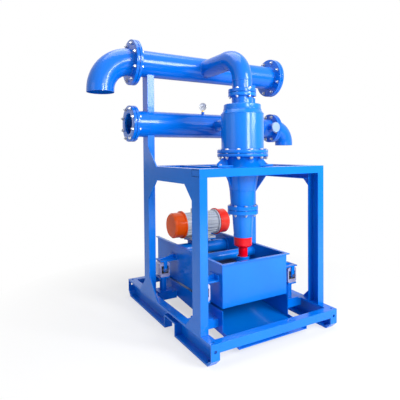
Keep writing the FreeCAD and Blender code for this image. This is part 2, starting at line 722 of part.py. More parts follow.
flange_bolts = bolt_circle(large_bolt(at.head_flange_wall * 2 + at.gasket_wall), head_pitch,
                           HEAD_BOLTS, (0, at.cyclone_y, cone_shoulder))
small_bolts = bolt_circle(small_bolt(at.apex_flange_wall * 2 + at.gasket_wall), at.apex_pitch,
                          APEX_BOLTS, (0, at.cyclone_y, lower_shoulder))
small_bolts += bolt_circle(small_bolt(at.clamp_wall * 2 + at.gasket_wall), clamp_pitch,
                           CLAMP_BOLTS, (0, at.cyclone_y, clamp_joint - half_gasket - at.clamp_wall))
lug_grip = at.lug_plate + at.post_wall
for side, sign in SIDES:
    for way in (-1, 1):
        spot = (at.cyclone_beam_x * sign, at.cyclone_y + at.lug_width / 4 * way, at.frame_top - at.post_wall)
        small_bolts.append(placed(small_bolt(lug_grip), spot))
solids("small_bolts", small_bolts)

# ---------------------------------------------------------------- headers
HEADER_BOLTS = 8
header_bore = at.header_radius - at.header_wall
flange = at.flange_wall


def flanged_pipe(name, points, ends, spot):
    """A pipe along X turned from its section, with bolt holes in flanges at the given levels."""
    host = turned(name, points, spot, "x")
    for top, pitch in ends:
        bolt_holes(host, top, flange, pitch, at.bolt_hole, HEADER_BOLTS)
    return host


left_face = at.overflow_left + half_gasket
length = at.overflow_right - half_gasket - left_face
overflow_pipe = flanged_pipe("OverflowPipe", [
    (header_bore, 0), (at.overflow_flange_radius, 0), (at.overflow_flange_radius, flange),
    (at.header_radius, flange), (at.header_radius, length - flange),
    (at.overflow_flange_radius, length - flange), (at.overflow_flange_radius, length),
    (header_bore, length),
], [(flange, at.overflow_pitch), (length, at.overflow_pitch)], (left_face, at.header_y, at.overflow_level))
branch_hole = rod("BranchHole", at.overflow_radius - elbow_wall, cyclone_to_header,
                  (0, elbow_y, at.overflow_level), "y")
node("overflow_header", cut("OverflowCut", overflow_pipe, branch_hole))

blind = turned("Blind", [
    (0, 0), (at.overflow_flange_radius, 0), (at.overflow_flange_radius, flange), (0, flange),
], (at.overflow_right + half_gasket, at.header_y, at.overflow_level), "x")
bolt_holes(blind, flange, flange, at.overflow_pitch, at.bolt_hole, HEADER_BOLTS)
node("blind_flange", blind)


def down_elbow(name, turn, sign, joint, level, sizes):
    """A flange and a quarter bend that turns down, with a short straight tail."""
    radius, flange_radius, pitch, bend, tail = sizes
    face = joint + half_gasket * sign
    bore = radius - at.header_wall
    low_face = face if sign > 0 else face - flange
    plate = ring(name + "Flange", flange_radius, bore, flange, (low_face, at.header_y, level), "x")
    bolt_holes(plate, flange, flange, pitch, at.bolt_hole, HEADER_BOLTS)
    start = face + flange * sign
    centre = (start, at.header_y, level - bend)
    foot = (start + bend * sign, at.header_y, level - bend - tail)
    outer = fuse(name + "Outer", plate, quarter_bend(name + "Bend", bend, radius, centre, turn),
                 rod(name + "Tail", radius, tail, foot))
    bend_bore = quarter_bend(name + "BendBore", bend, bore, centre, turn)
    return cut(name, outer, bend_bore, rod(name + "TailBore", bore, tail, foot))


overflow_sizes = (at.header_radius, at.overflow_flange_radius, at.overflow_pitch, at.overflow_bend,
                  at.overflow_elbow_tail)
node("discharge_elbow", down_elbow("DischargeElbow", "left_down", -1, at.overflow_left,
                                   at.overflow_level, overflow_sizes))

feed_face = at.feed_left + half_gasket
feed_length = at.feed_right - half_gasket - feed_face
reducer_end = at.nozzle_x - at.nozzle_radius - flange - feed_face
reducer_start = reducer_end - at.header_radius / 2
feed_end_bore = at.feed_elbow_radius - at.header_wall
feed_pipe = flanged_pipe("FeedPipe", [
    (header_bore, 0), (at.feed_flange_radius, 0), (at.feed_flange_radius, flange),
    (at.header_radius, flange), (at.header_radius, reducer_start), (at.feed_elbow_radius, reducer_end),
    (at.feed_elbow_radius, feed_length - flange), (at.feed_end_flange_radius, feed_length - flange),
    (at.feed_end_flange_radius, feed_length), (feed_end_bore, feed_length),
    (feed_end_bore, reducer_end), (header_bore, reducer_start),
], [(flange, at.feed_pitch), (feed_length, at.feed_end_pitch)], (feed_face, at.header_y, at.feed_level))
nozzle_run = at.header_y - at.nozzle_end
nozzle_spot = (at.nozzle_x, at.nozzle_end, at.feed_level)
socket_bottom = at.feed_level + header_bore
socket_top = at.feed_level + at.header_radius + at.socket_depth
gauge_socket = rod("GaugeSocket", at.socket_radius, socket_top - socket_bottom,
                   (at.gauge_x, at.header_y, socket_bottom))
feed_whole = fuse("FeedWhole", feed_pipe, gauge_socket,
                  rod("Nozzle", at.nozzle_radius, nozzle_run, nozzle_spot, "y"))
feed_space = fuse(
    "FeedSpace",
    rod("FeedBore", header_bore, reducer_start, (feed_face, at.header_y, at.feed_level), "x"),
    rod("FeedEndBore", feed_end_bore, feed_length, (feed_face, at.header_y, at.feed_level), "x"),
    rod("NozzleBore", at.nozzle_radius - at.header_wall, nozzle_run, nozzle_spot, "y"),
    rod("FeedInlet", inlet_bore, inlet_run, inlet_spot, "y"),
    rod("SocketBore", at.stem_radius, at.header_radius + at.socket_depth,
        (at.gauge_x, at.header_y, at.feed_level)),
)
node("feed_header", cut("FeedCut", feed_whole, feed_space))
node("nozzle_cap", turned("NozzleCap", [
    (0, 0), (at.cap_radius - bevel, 0), (at.cap_radius, bevel), (at.cap_radius, at.cap_wall),
    (0, at.cap_wall),
], (at.nozzle_x, at.nozzle_end - at.cap_wall, at.feed_level), "y"))
inlet_flange = ring("InletFlange", at.feed_flange_radius, at.feed_bore, flange,
                    (at.feed_left - half_gasket - flange, at.header_y, at.feed_level), "x")
bolt_holes(inlet_flange, flange, flange, at.feed_pitch, at.bolt_hole, HEADER_BOLTS)
node("feed_inlet_flange", inlet_flange)
feed_sizes = (at.feed_elbow_radius, at.feed_end_flange_radius, at.feed_end_pitch, at.feed_bend,
              at.feed_elbow_tail)
node("feed_elbow", down_elbow("FeedElbow", "right_down", 1, at.feed_right, at.feed_level, feed_sizes))

for joint, level, pitch, pipe_bore in (
    (at.overflow_left, at.overflow_level, at.overflow_pitch, header_bore),
    (at.overflow_right, at.overflow_level, at.overflow_pitch, header_bore),
    (at.feed_left, at.feed_level, at.feed_pitch, header_bore),
    (at.feed_right, at.feed_level, at.feed_end_pitch, feed_end_bore),
):
    grip = flange * 2 + at.gasket_wall
    spot = (joint - half_gasket - flange, at.header_y, level)
    flange_bolts += bolt_circle(large_bolt(grip), pitch, HEADER_BOLTS, spot, "x")
    gaskets.append(ring("HeaderGasket", pitch - at.bolt_head, pipe_bore, at.gasket_wall,
                        (joint - half_gasket, at.header_y, level), "x"))
node("flange_gaskets", group("Gaskets", *gaskets))
solids("flange_bolts", flange_bolts)

# ---------------------------------------------------------------- pressure gauge
GAUGE_TURN = Rotation(AXES["z"], -30) * Rotation(AXES["x"], 90)
gauge_spot = (at.gauge_x, at.header_y, at.gauge_level)
stem_top = at.gauge_level - at.gauge_radius
node("gauge_stem", fuse(
    "Stem",
    rod("StemRod", at.stem_radius - at.weld_gap, stem_top - at.feed_level - header_bore,
        (at.gauge_x, at.header_y, at.feed_level + header_bore)),
    rod("StemNut", at.stem_radius * 1.6, stem_top - socket_top, (at.gauge_x, at.header_y, socket_top)),
))
gauge_back = -at.gauge_depth / 2
gauge_front = at.gauge_depth / 2
dial_back = gauge_back + at.gauge_wall * 6
dial_front = dial_back + at.gauge_wall / 2
lens_back = gauge_front - at.gauge_wall * 2
lens_front = gauge_front - at.gauge_wall
gauge_bore = at.gauge_radius - at.gauge_wall
bezel_bore = at.gauge_radius - at.gauge_bezel
node("gauge_case", turned("GaugeCase", [
    (0, gauge_back), (at.gauge_radius, gauge_back), (at.gauge_radius, gauge_front),
    (bezel_bore, gauge_front), (bezel_bore, lens_front), (gauge_bore, lens_front),
    (gauge_bore, gauge_back + at.gauge_wall), (0, gauge_back + at.gauge_wall),
], gauge_spot, GAUGE_TURN))
spindle = at.gauge_wall
spindle_hole = spindle + at.running_gap
node("gauge_dial", turned("GaugeDial", [
    (spindle_hole, dial_back), (gauge_bore - at.weld_gap, dial_back),
    (gauge_bore - at.weld_gap, dial_front), (spindle_hole, dial_front),
], gauge_spot, GAUGE_TURN))
node("gauge_lens", turned("GaugeLens", [
    (0, lens_back), (gauge_bore - at.weld_gap, lens_back), (gauge_bore - at.weld_gap, lens_front),
    (0, lens_front),
], gauge_spot, GAUGE_TURN))
needle = turned("NeedleHub", [
    (0, gauge_back + at.gauge_wall * 1.5), (spindle, gauge_back + at.gauge_wall * 1.5),
    (spindle, dial_front + at.gauge_wall), (spindle * 2, dial_front + at.gauge_wall),
    (spindle * 2, dial_front + at.gauge_wall * 2), (0, dial_front + at.gauge_wall * 2),
], gauge_spot, GAUGE_TURN)
pointer = sketch(needle, "XY_Plane", dial_front + at.gauge_wall)
outline(pointer, [
    (0, at.gauge_wall), (-at.gauge_radius * 0.4, at.gauge_wall * 0.8),
    (-at.gauge_radius * 0.4, -at.gauge_wall * 0.8), (0, -at.gauge_wall), (at.gauge_radius * 0.7, 0),
])
pad(needle, pointer, at.gauge_wall / 2)
NEEDLE_REST = Rotation(AXES["z"], -135)
needle.Placement = Placement(Vector(), GAUGE_TURN * NEEDLE_REST)
node("gauge_needle", needle)

# ---------------------------------------------------------------- screen box and deck
box_half = at.box_width / 2
inner_half = box_half - at.box_wall
box_inner_front = at.box_front + at.box_wall


def open_frame(drawing, outer_half, inner, front, inner_front):
    """Left wall, front wall and right wall in plan, open to the rear."""
    return outline(drawing, [
        (-outer_half, at.box_rear), (-outer_half, front), (outer_half, front), (outer_half, at.box_rear),
        (inner, at.box_rear), (inner, inner_front), (-inner, inner_front), (-inner, at.box_rear),
    ])


host = body("ScreenBox")
walls = sketch(host, "XY_Plane", at.box_bottom)
open_frame(walls, box_half, inner_half, at.box_front, box_inner_front)
pad(host, walls, at.box_top - at.box_bottom)
rim = sketch(host, "XY_Plane", at.box_top - at.rim_wall)
open_frame(rim, box_half + at.rim_reach, inner_half, at.box_front - at.rim_reach, box_inner_front)
pad(host, rim, at.rim_wall)
rails = [
    block("Rail", (low_x, box_inner_front, at.deck_level - at.rail_wall),
          (at.rail_width, at.box_rear - box_inner_front, at.rail_wall))
    for low_x in (-inner_half, inner_half - at.rail_width)
]
node("screen_box", fuse("ScreenBoxWhole", host, *rails))

inside_width = inner_half * 2
cross_tube_spot = (-inner_half, at.cross_tube_y, at.cross_tube_level)
node("screen_cross_tube", tube("CrossTube", at.cross_tube_radius, at.tube_wall, inside_width,
                               cross_tube_spot, "x"))
tube_bore = at.motor_tube_radius - at.tube_wall
tube_flange = at.motor_tube_radius + at.tube_wall * 4
motor_tube = turned("MotorTube", [
    (tube_bore, 0), (tube_flange, 0), (tube_flange, at.box_wall), (at.motor_tube_radius, at.box_wall),
    (at.motor_tube_radius, inside_width - at.box_wall), (tube_flange, inside_width - at.box_wall),
    (tube_flange, inside_width), (tube_bore, inside_width),
], (-inner_half, at.motor_tube_y, at.motor_tube_level), "x")

deck_half = inner_half - at.weld_gap
deck_front = box_inner_front + at.weld_gap
deck_bottom = at.deck_level
slot_room = at.box_rear - deck_front
SLOT_COLUMNS = 5
host = body("Deck")
plan = sketch(host, "XY_Plane", deck_bottom)
rectangle(plan, (-deck_half, deck_front), (deck_half, at.box_rear))
pad(host, plan, at.deck_wall)
slots = sketch(host, "XY_Plane", deck_bottom + at.deck_wall)
slot_pitch = slot_room / (at.slot_count + 1)
first_slot = deck_front + slot_pitch / 2
for column in range(SLOT_COLUMNS):
    middle = deck_half * (2 * (column + 0.5) / SLOT_COLUMNS - 1)
    rectangle(slots, (middle - at.slot_length / 2, first_slot),
              (middle + at.slot_length / 2, first_slot + at.slot_width))
cutting = pocket(host, slots, at.deck_wall)
doc.recompute()
rows = host.newObject("PartDesign::LinearPattern", "SlotRows")
rows.Originals = [cutting]
rows.Direction = (slots, ["V_Axis"])
rows.setExpression("Length", text_of(slot_room - slot_pitch))
rows.setExpression("Occurrences", text_of(at.slot_count))
host.Tip = rows
node("screen_deck", host)

funnel_bore = at.funnel_radius - at.funnel_wall
funnel_bottom = at.funnel_top - at.funnel_depth
funnel = rod("FunnelOuter", at.funnel_radius, at.funnel_depth, (0, at.cyclone_y, funnel_bottom))
tongue = block("Tongue", (-at.funnel_radius, box_inner_front, funnel_bottom),
               (at.funnel_radius * 2, at.cyclone_y - box_inner_front, at.tongue_wall))
node("feed_funnel", cut("FunnelCut", fuse("FunnelWhole", funnel, tongue),
                        rod("FunnelBore", funnel_bore, at.funnel_depth,
                            (0, at.cyclone_y, funnel_bottom))))

# ---------------------------------------------------------------- vibration motor
motor_bore = at.motor_radius - at.motor_wall
motor_left = -at.motor_half
motor_flange = at.cap_rim - at.motor_wall
barrel_end = at.motor_half * 2 - at.bearing_width
MOTOR = (motor_left, at.motor_y, at.motor_level)
barrel = turned("Barrel", [
    (at.bearing_radius, 0), (motor_flange, 0), (motor_flange, at.cap_rim_wall),
    (at.motor_radius, at.cap_rim_wall), (at.motor_radius, at.motor_half * 2 - at.cap_rim_wall),
    (motor_flange, at.motor_half * 2 - at.cap_rim_wall), (motor_flange, at.motor_half * 2),
    (at.bearing_radius, at.motor_half * 2), (at.bearing_radius, barrel_end), (motor_bore, barrel_end),
    (motor_bore, at.bearing_width), (at.bearing_radius, at.bearing_width),
], MOTOR, "x")
FINS = 20
fin_drawing = sketch(barrel, "XY_Plane", at.cap_rim_wall)
rectangle(fin_drawing, (at.motor_radius - at.fin_wall / 2, -at.fin_wall / 2),
          (at.motor_radius + at.fin_reach, at.fin_wall / 2))
fin = pad(barrel, fin_drawing, (at.motor_half - at.cap_rim_wall) * 2)
repeat(barrel, [fin], fin_drawing, FINS)
foot_bottom = at.motor_level - at.cap_rim - at.foot_wall / 2
saddle_half = at.foot_width * 0.3
foot = block("Foot", (-at.foot_length / 2, at.motor_y - at.foot_width / 2, foot_bottom),
             (at.foot_length, at.foot_width, at.foot_wall))
saddle = block("FootSaddle", (-at.foot_length * 0.4, at.motor_y - saddle_half, foot_bottom),
               (at.foot_length * 0.8, saddle_half * 2, at.motor_level - foot_bottom))
foot_hole_x = at.foot_length * 0.4
foot_hole_y = at.foot_width * 0.4
foot_spots = [(foot_hole_x * i, at.motor_y + foot_hole_y * j) for i in (-1, 1) for j in (-1, 1)]
foot_holes = [rod("FootHole", at.bolt_hole, at.foot_wall, (x, y, foot_bottom)) for x, y in foot_spots]
inside = rod("MotorSpace", motor_bore, barrel_end - at.bearing_width,
             (motor_left + at.bearing_width, at.motor_y, at.motor_level), "x")
node("motor_housing", cut("MotorCut", fuse("MotorWhole", barrel, foot, saddle), inside, *foot_holes))

# the plate that the motor stands on, with two ribs down to the motor tube
plate_bottom = foot_bottom - at.bracket_wall
plate = block("BracketPlate", (-at.foot_length / 2, at.motor_y - at.foot_width / 2, plate_bottom),
              (at.foot_length, at.foot_width, at.bracket_wall))
plate_holes = [rod("PlateHole", at.bolt_hole, at.bracket_wall, (x, y, plate_bottom)) for x, y in foot_spots]
ribs = [
    block("Rib", (at.foot_length * 0.3 * sign - at.bracket_wall / 2, at.motor_tube_y - at.motor_tube_radius,
                  at.motor_tube_level),
          (at.bracket_wall, at.motor_tube_radius * 2, foot_bottom - at.motor_tube_level))
    for sign in (-1, 1)
]
tube_space = rod("TubeSpace", tube_bore, inside_width,
                 (-inner_half, at.motor_tube_y, at.motor_tube_level), "x")
bracket = cut("BracketCut", fuse("BracketWhole", plate, *ribs), tube_space, *plate_holes)
node("motor_tube", fuse("MotorTubeWhole", motor_tube, bracket))
foot_grip = at.foot_wall + at.bracket_wall
screen_bolts = [placed(large_bolt(foot_grip), (x, y, plate_bottom)) for x, y in foot_spots]

CAP_TURNS = {"left": Rotation(AXES["y"], -90), "right": Rotation(AXES["y"], 90)}
cap_bore = at.cap_outer - at.motor_cap_wall
cap_shoulder = at.cap_length - at.cap_outer * 0.12
bearings = []
for side, sign in SIDES:
    cap = turned("MotorCap", [
        (cap_bore, 0), (at.cap_rim, 0), (at.cap_rim, at.cap_rim_wall), (at.cap_outer, at.cap_rim_wall),
        (at.cap_outer, cap_shoulder), (at.cap_outer * 0.88, at.cap_length), (0, at.cap_length),
        (0, at.cap_length - at.motor_cap_wall), (cap_bore * 0.88, at.cap_length - at.motor_cap_wall),
        (cap_bore, cap_shoulder - at.motor_cap_wall),
    ], (at.motor_half * sign, at.motor_y, at.motor_level), CAP_TURNS[side])
    node(f"motor_cap_{side}", cap)
    start = at.motor_half - at.bearing_width if sign > 0 else motor_left
    bearings.append(ring("Bearing", at.bearing_radius, at.shaft_radius, at.bearing_width,
                         (start, at.motor_y, at.motor_level), "x"))
node("motor_bearings", group("Bearings", *bearings))
node("motor_stator", ring("Stator", motor_bore, at.stator_bore, at.core_half * 2,
                          (-at.core_half, at.motor_y, at.motor_level), "x"))

weight_start = at.motor_half + at.bearing_width
shaft_half = weight_start + at.weight_width + at.bracket_wall
rotor_parts = [
    rod("Shaft", at.shaft_radius - at.running_gap, shaft_half * 2,
        (-shaft_half, at.motor_y, at.motor_level), "x"),
    rod("RotorCore", at.rotor_core, at.core_half * 2, (-at.core_half, at.motor_y, at.motor_level), "x"),
]
LOWER_HALF = Rotation(Vector(0, 1, 0), Vector(0, 0, -1), Vector(-1, 0, 0), "ZXY")
for start in (-weight_start - at.weight_width, weight_start):
    weight = add("Part::Cylinder", "Weight", Radius=at.weight_radius, Height=at.weight_width)
    weight.Angle = 180
    place(weight, (start + at.weight_width, at.motor_y, at.motor_level), LOWER_HALF)
    rotor_parts.append(weight)
node("motor_rotor", fuse("Rotor", *rotor_parts))

box_front_y = at.motor_y - at.terminal_width / 2
terminal_bottom = at.motor_level + at.motor_radius - at.fin_wall
terminal = block("Terminal", (-at.terminal_width / 2, box_front_y, terminal_bottom),
                 (at.terminal_width, at.terminal_width, at.terminal_depth))
terminal_seat = rod("TerminalSeat", at.motor_radius + at.fin_reach + at.weld_gap, at.terminal_width,
                    (-at.terminal_width / 2, at.motor_y, at.motor_level), "x")
gland_level = at.motor_level + at.motor_radius + at.fin_reach + at.weld_gap + at.gland_radius
gland_spot = (at.terminal_width / 2, at.motor_y, gland_level)
node("terminal_box", fuse(
    "TerminalWhole", cut("TerminalCut", terminal, terminal_seat),
    rod("GlandNut", at.gland_radius, at.gland_radius, gland_spot, "x"),
    rod("GlandCap", at.gland_radius * 0.8, at.gland_radius * 2, gland_spot, "x"),
))

# ---------------------------------------------------------------- suspension, four units
base_level = at.runner_depth
column_bottom = base_level + at.base_wall
housing_middle = at.housing_bottom + at.housing_depth / 2
housing_top = at.housing_bottom + at.housing_depth
half_opening = at.housing_opening / 2
cord_radius = (at.housing_opening / DIAGONAL - at.core_size / 2) / (1 + DIAGONAL) - at.cord_gap
cord_reach = (at.core_size / 2 + at.cord_gap + cord_radius) / DIAGONAL
cheek_inner = at.housing_length / 2 + 2
brackets, pedestals, housings, cores, cords, hangers = [], [], [], [], [], []
for side, sign in SIDES:
    for y in (at.front_mount_y, at.rear_mount_y):
        x = at.mount_x * sign
        reach = runner_inside - at.pan_width / 2
        low_x = -runner_inside if sign < 0 else at.pan_width / 2
        low = (low_x, y - at.bracket_length / 2, base_level - at.bracket_depth)
        hollow = block("BracketHollow", (low[0], low[1] + at.beam_wall, low[2] + at.beam_wall),
                       (reach, at.bracket_length - at.beam_wall * 2, at.bracket_depth - at.beam_wall * 2))
        outer = block("BracketOuter", low, (reach, at.bracket_length, at.bracket_depth))
        brackets.append(cut("SuspensionBracket", outer, hollow))

        half_base = at.bracket_length / 2
        half_housing = at.housing_width / 2
        half_length_y = at.housing_length / 2
        pedestals.append(fuse(
            "Pedestal",
            block("Base", (x - half_base, y - half_base, base_level),
                  (at.bracket_length, at.bracket_length, at.base_wall)),
            tube("Column", at.column_radius, at.column_wall,
                 at.housing_bottom - column_bottom, (x, y, column_bottom)),
            block("Head", (x - half_housing, y - half_length_y, at.housing_bottom - at.base_wall),
                  (at.housing_width, at.housing_length, at.base_wall)),
        ))
        case = body("Housing", (x, y, housing_middle))
        section = sketch(case, "XZ_Plane")
        rounding = at.base_wall
        w, h = half_housing, at.housing_depth / 2
        outline(section, [
            (-w + rounding, -h), (w - rounding, -h), (w, -h + rounding), (w, h - rounding),
            (w - rounding, h), (-w + rounding, h), (-w, h - rounding), (-w, -h + rounding),
        ])
        rectangle(section, (-half_opening, -half_opening), (half_opening, half_opening))
        pad(case, section, at.housing_length, Midplane=True)
        housings.append(case)

        core_length = cheek_inner * 2
        core = body("Core", (x, y, housing_middle))
        section = sketch(core, "XZ_Plane")
        tip = at.core_size / DIAGONAL
        outline(section, [(tip, 0), (0, tip), (-tip, 0), (0, -tip)])
        circle(section, at.bolt_hole)
        pad(core, section, core_length, Midplane=True)
        cores.append(core)
        for i in (-1, 1):
            for j in (-1, 1):
                spot = (x + cord_reach * i, y - half_length_y, housing_middle + cord_reach * j)
                cords.append(rod("Cord", cord_radius, at.housing_length, spot, "y"))

        cheek_low = housing_middle - at.cheek_width / 2
        plate_low = housing_top + at.travel_gap
        wall_x = -box_half - at.hanger_wall if sign < 0 else box_half
        plate_start = -at.mount_x - half_housing if sign < 0 else box_half
        plate_reach = at.mount_x + half_housing - box_half
        outer_cheek = cheek_inner + at.hanger_wall
        hanger = [
            block("HangerPlate", (plate_start, y - outer_cheek, plate_low),
                  (plate_reach, outer_cheek * 2, at.hanger_wall)),
            block("HangerWall", (wall_x, y - outer_cheek, plate_low),
                  (at.hanger_wall, outer_cheek * 2, at.hanger_top - plate_low)),
        ]
        for way in (-1, 1):
            cheek_y = y + cheek_inner if way > 0 else y - outer_cheek
            hanger.append(block("Cheek", (x - at.cheek_width / 2, cheek_y, cheek_low),
                                (at.cheek_width, at.hanger_wall, plate_low - cheek_low)))
        web = body("HangerWeb", (0, y, 0))
        drawing = sketch(web, "XZ_Plane")
        outline(drawing, [
            (box_half * sign, plate_low), ((at.mount_x + half_housing) * sign, plate_low + at.hanger_wall),
            (box_half * sign, at.hanger_top),
        ])
        pad(web, drawing, at.hanger_wall, Midplane=True)
        bolt_run = rod("HangerHole", at.bolt_hole, outer_cheek * 2, (x, y - outer_cheek, housing_middle), "y")
        hangers.append(cut("Hanger", fuse("HangerWhole", *hanger, web), bolt_run))
        bolt_start = (x, y - outer_cheek, housing_middle)
        screen_bolts.append(placed(large_bolt(outer_cheek * 2), bolt_start, "y"))
for label, things in (
    ("suspension_brackets", brackets), ("suspension_pedestals", pedestals),
    ("suspension_housings", housings), ("suspension_cores", cores),
    ("suspension_cords", cords), ("suspension_hangers", hangers),
):
    node(label, group("Group", *things))
solids("screen_bolts", screen_bolts)

# ---------------------------------------------------------------- under-screen pan
pan_half = at.pan_width / 2
pan_slope = (at.pan_rear_level - at.pan_front_level) / (at.pan_rear - at.pan_front)
step_level = at.pan_front_level + pan_slope * (at.pan_step - at.pan_front)
host = body("Pan", (-pan_half, 0, 0))
side = sketch(host, "YZ_Plane")
outline(side, [
    (at.pan_front, at.pan_front_level), (at.pan_rear, at.pan_rear_level), (at.pan_rear, at.pan_top),
    (at.pan_step, at.pan_top), (at.pan_step, step_level + at.pan_lip),
    (at.pan_front, at.pan_front_level + at.pan_lip),
])
pad(host, side, at.pan_width)
hollow = sketch(host, "YZ_Plane", at.pan_wall)
outline(hollow, [
    (at.pan_front - 1, at.pan_front_level + at.pan_wall - pan_slope),
    (at.pan_rear - at.pan_wall, at.pan_rear_level + at.pan_wall - pan_slope * at.pan_wall),
    (at.pan_rear - at.pan_wall, at.pan_top + 1), (at.pan_front - 1, at.pan_top + 1),
])
pocket(host, hollow, at.pan_width - at.pan_wall * 2, Reversed=True)
node("under_screen_pan", host)

# ---------------------------------------------------------------- checks and export
doc.recompute()
faults = [thing.Name for thing in doc.Objects if {"Invalid", "Error"} & set(thing.State)]
faults += [thing.Label for thing in NODES if thing.Shape.isNull() or not thing.Shape.isValid()]
if faults:
    raise RuntimeError("features that failed: " + ", ".join(faults))
os.makedirs("parts", exist_ok=True)
for thing in NODES:
    thing.Shape.exportStep(os.path.join("parts", thing.Label + ".step"))
    print(thing.Label, len(thing.Shape.Solids), "solids", round(thing.Shape.Volume / 1000), "cm3")
print(len(NODES), "nodes")
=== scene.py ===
# %% [markdown]
# # A hydrocyclone on its skid
# The real machine is a steel skid with a cyclone, two header pipes and a vibrating screen, sprayed in
# one glossy blue. The CAD part already has every piece in its place. This lesson gives each piece its
# finish, and makes again, as smooth surfaces, the round pieces whose highlights carry the look.

# %% Load the part as a fixed frame
import json
import math

import bpy
import numpy as np
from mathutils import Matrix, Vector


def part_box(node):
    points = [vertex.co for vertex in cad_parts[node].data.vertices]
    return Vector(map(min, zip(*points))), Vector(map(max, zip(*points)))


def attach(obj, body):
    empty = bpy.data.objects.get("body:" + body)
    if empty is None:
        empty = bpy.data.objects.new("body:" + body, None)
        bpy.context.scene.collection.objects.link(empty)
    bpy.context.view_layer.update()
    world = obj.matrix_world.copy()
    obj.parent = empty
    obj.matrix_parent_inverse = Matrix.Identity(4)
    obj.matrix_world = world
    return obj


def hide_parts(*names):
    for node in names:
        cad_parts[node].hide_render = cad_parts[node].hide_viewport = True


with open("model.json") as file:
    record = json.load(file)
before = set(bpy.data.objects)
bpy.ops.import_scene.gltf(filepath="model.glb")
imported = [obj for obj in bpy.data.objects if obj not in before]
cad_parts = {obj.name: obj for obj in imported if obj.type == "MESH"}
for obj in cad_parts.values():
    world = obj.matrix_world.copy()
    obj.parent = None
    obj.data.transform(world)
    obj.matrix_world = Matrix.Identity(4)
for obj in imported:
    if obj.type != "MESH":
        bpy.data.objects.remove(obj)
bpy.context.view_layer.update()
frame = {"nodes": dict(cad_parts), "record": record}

# %% [markdown]
# ## A small language for shader maths
# A finish is easier to read as a formula than as a web of nodes. One class wraps a socket, so that
# `1 - mask` or `grain * 0.1` adds the Math node by itself. Any other node comes from one method.


# %% Shader maths
class Wire:
    """A socket's value in a formula. The operators add Math nodes to the recipe."""

    def __init__(self, recipe, socket):
        self.recipe = recipe
        self.socket = socket

    def maths(self, operation, *values):
        wires = {index: value for index, value in enumerate(values)}
        return self.recipe.add("ShaderNodeMath", {"operation": operation}, wires)

    def __add__(self, other):
        return self.maths("ADD", self, other)

    def __radd__(self, other):
        return self.maths("ADD", other, self)

    def __sub__(self, other):
        return self.maths("SUBTRACT", self, other)

    def __rsub__(self, other):
        return self.maths("SUBTRACT", other, self)

    def __mul__(self, other):
        return self.maths("MULTIPLY", self, other)

    def __rmul__(self, other):
        return self.maths("MULTIPLY", other, self)

    def clamp(self, low, high):
        return self.maths("MINIMUM", self.maths("MAXIMUM", self, low), high)


class Recipe:
    """A material under construction."""

    def __init__(self, name):
        self.material = bpy.data.materials.new(name)
        self.material.use_nodes = True
        self.tree = self.material.node_tree
        self.tree.nodes.clear()
        self.place = self.add("ShaderNodeTexCoord", out="Object")

    def add(self, kind, settings=None, inputs=None, out=0):
        """A node: its settings first, then the values or links of its sockets. Gives one output."""
        node = self.tree.nodes.new(kind)
        for field, value in (settings or {}).items():
            if field == "stops":
                for stop, (spot, colour) in zip(node.color_ramp.elements, value):
                    stop.position = spot
                    stop.color = colour
            else:
                setattr(node, field, value)
        for socket, value in (inputs or {}).items():
            if isinstance(value, Wire):
                self.tree.links.new(value.socket, node.inputs[socket])
            else:
                node.inputs[socket].default_value = value
        return Wire(self, node.outputs[out])

    def noise(self, scale, detail=2.0):
        """A grey cloud about 1/scale metres across, from 0 to 1 round a middle of 0.5."""
        sizes = {"Vector": self.place, "Scale": scale, "Detail": detail}
        return self.add("ShaderNodeTexNoise", None, sizes)

    def blend(self, amount, first, second):
        """A colour between two, by an amount from 0 to 1."""
        wires = {"Factor": amount, "A": first, "B": second}
        node = self.add("ShaderNodeMix", {"data_type": "RGBA"}, None, out=2).socket.node
        for index, value in ((0, wires["Factor"]), (6, wires["A"]), (7, wires["B"])):
            if isinstance(value, Wire):
                self.tree.links.new(value.socket, node.inputs[index])
            else:
                node.inputs[index].default_value = value
        return Wire(self, node.outputs[2])

    def soft_edges(self, radius):
        """The surface's normal with every sharp edge rounded off by a radius."""
        return self.add("ShaderNodeBevel", {"samples": 4}, {"Radius": radius})

    def bump(self, height, distance, normal=None):
        wires = {"Height": height, "Distance": distance, "Strength": 1.0}
        if normal is not None:
            wires["Normal"] = normal
        return self.add("ShaderNodeBump", None, wires)

    def finish(self, **inputs):
        """Ends the recipe with a Principled shader. A socket's name has _ for a space."""
        wires = {field.replace("_", " "): value for field, value in inputs.items()}
        shader = self.add("ShaderNodeBsdfPrincipled", None, wires)
        self.add_output(shader)
        return self.material

    def add_output(self, shader):
        output = self.tree.nodes.new("ShaderNodeOutputMaterial")
        self.tree.links.new(shader.socket, output.inputs["Surface"])


def linear(red, green, blue):
    """A display colour from 0 to 255 as the linear colour that a shader wants."""
    share = np.array([red, green, blue]) / 255
    low = share / 12.92
    high = ((share + 0.055) / 1.055) ** 2.4
    return (*np.where(share <= 0.04045, low, high), 1.0)


# %% [markdown]
# ## Sprayed paint
# The skid and pipes wear a thick gloss coat. Real spray is never one flat colour: the film is a touch
# darker where it ran thick, its skin has a fine "orange peel", and it catches light along each edge.
# So the recipe mixes two near blues, adds a shallow bump 4 mm across, and rounds edges in the normal.


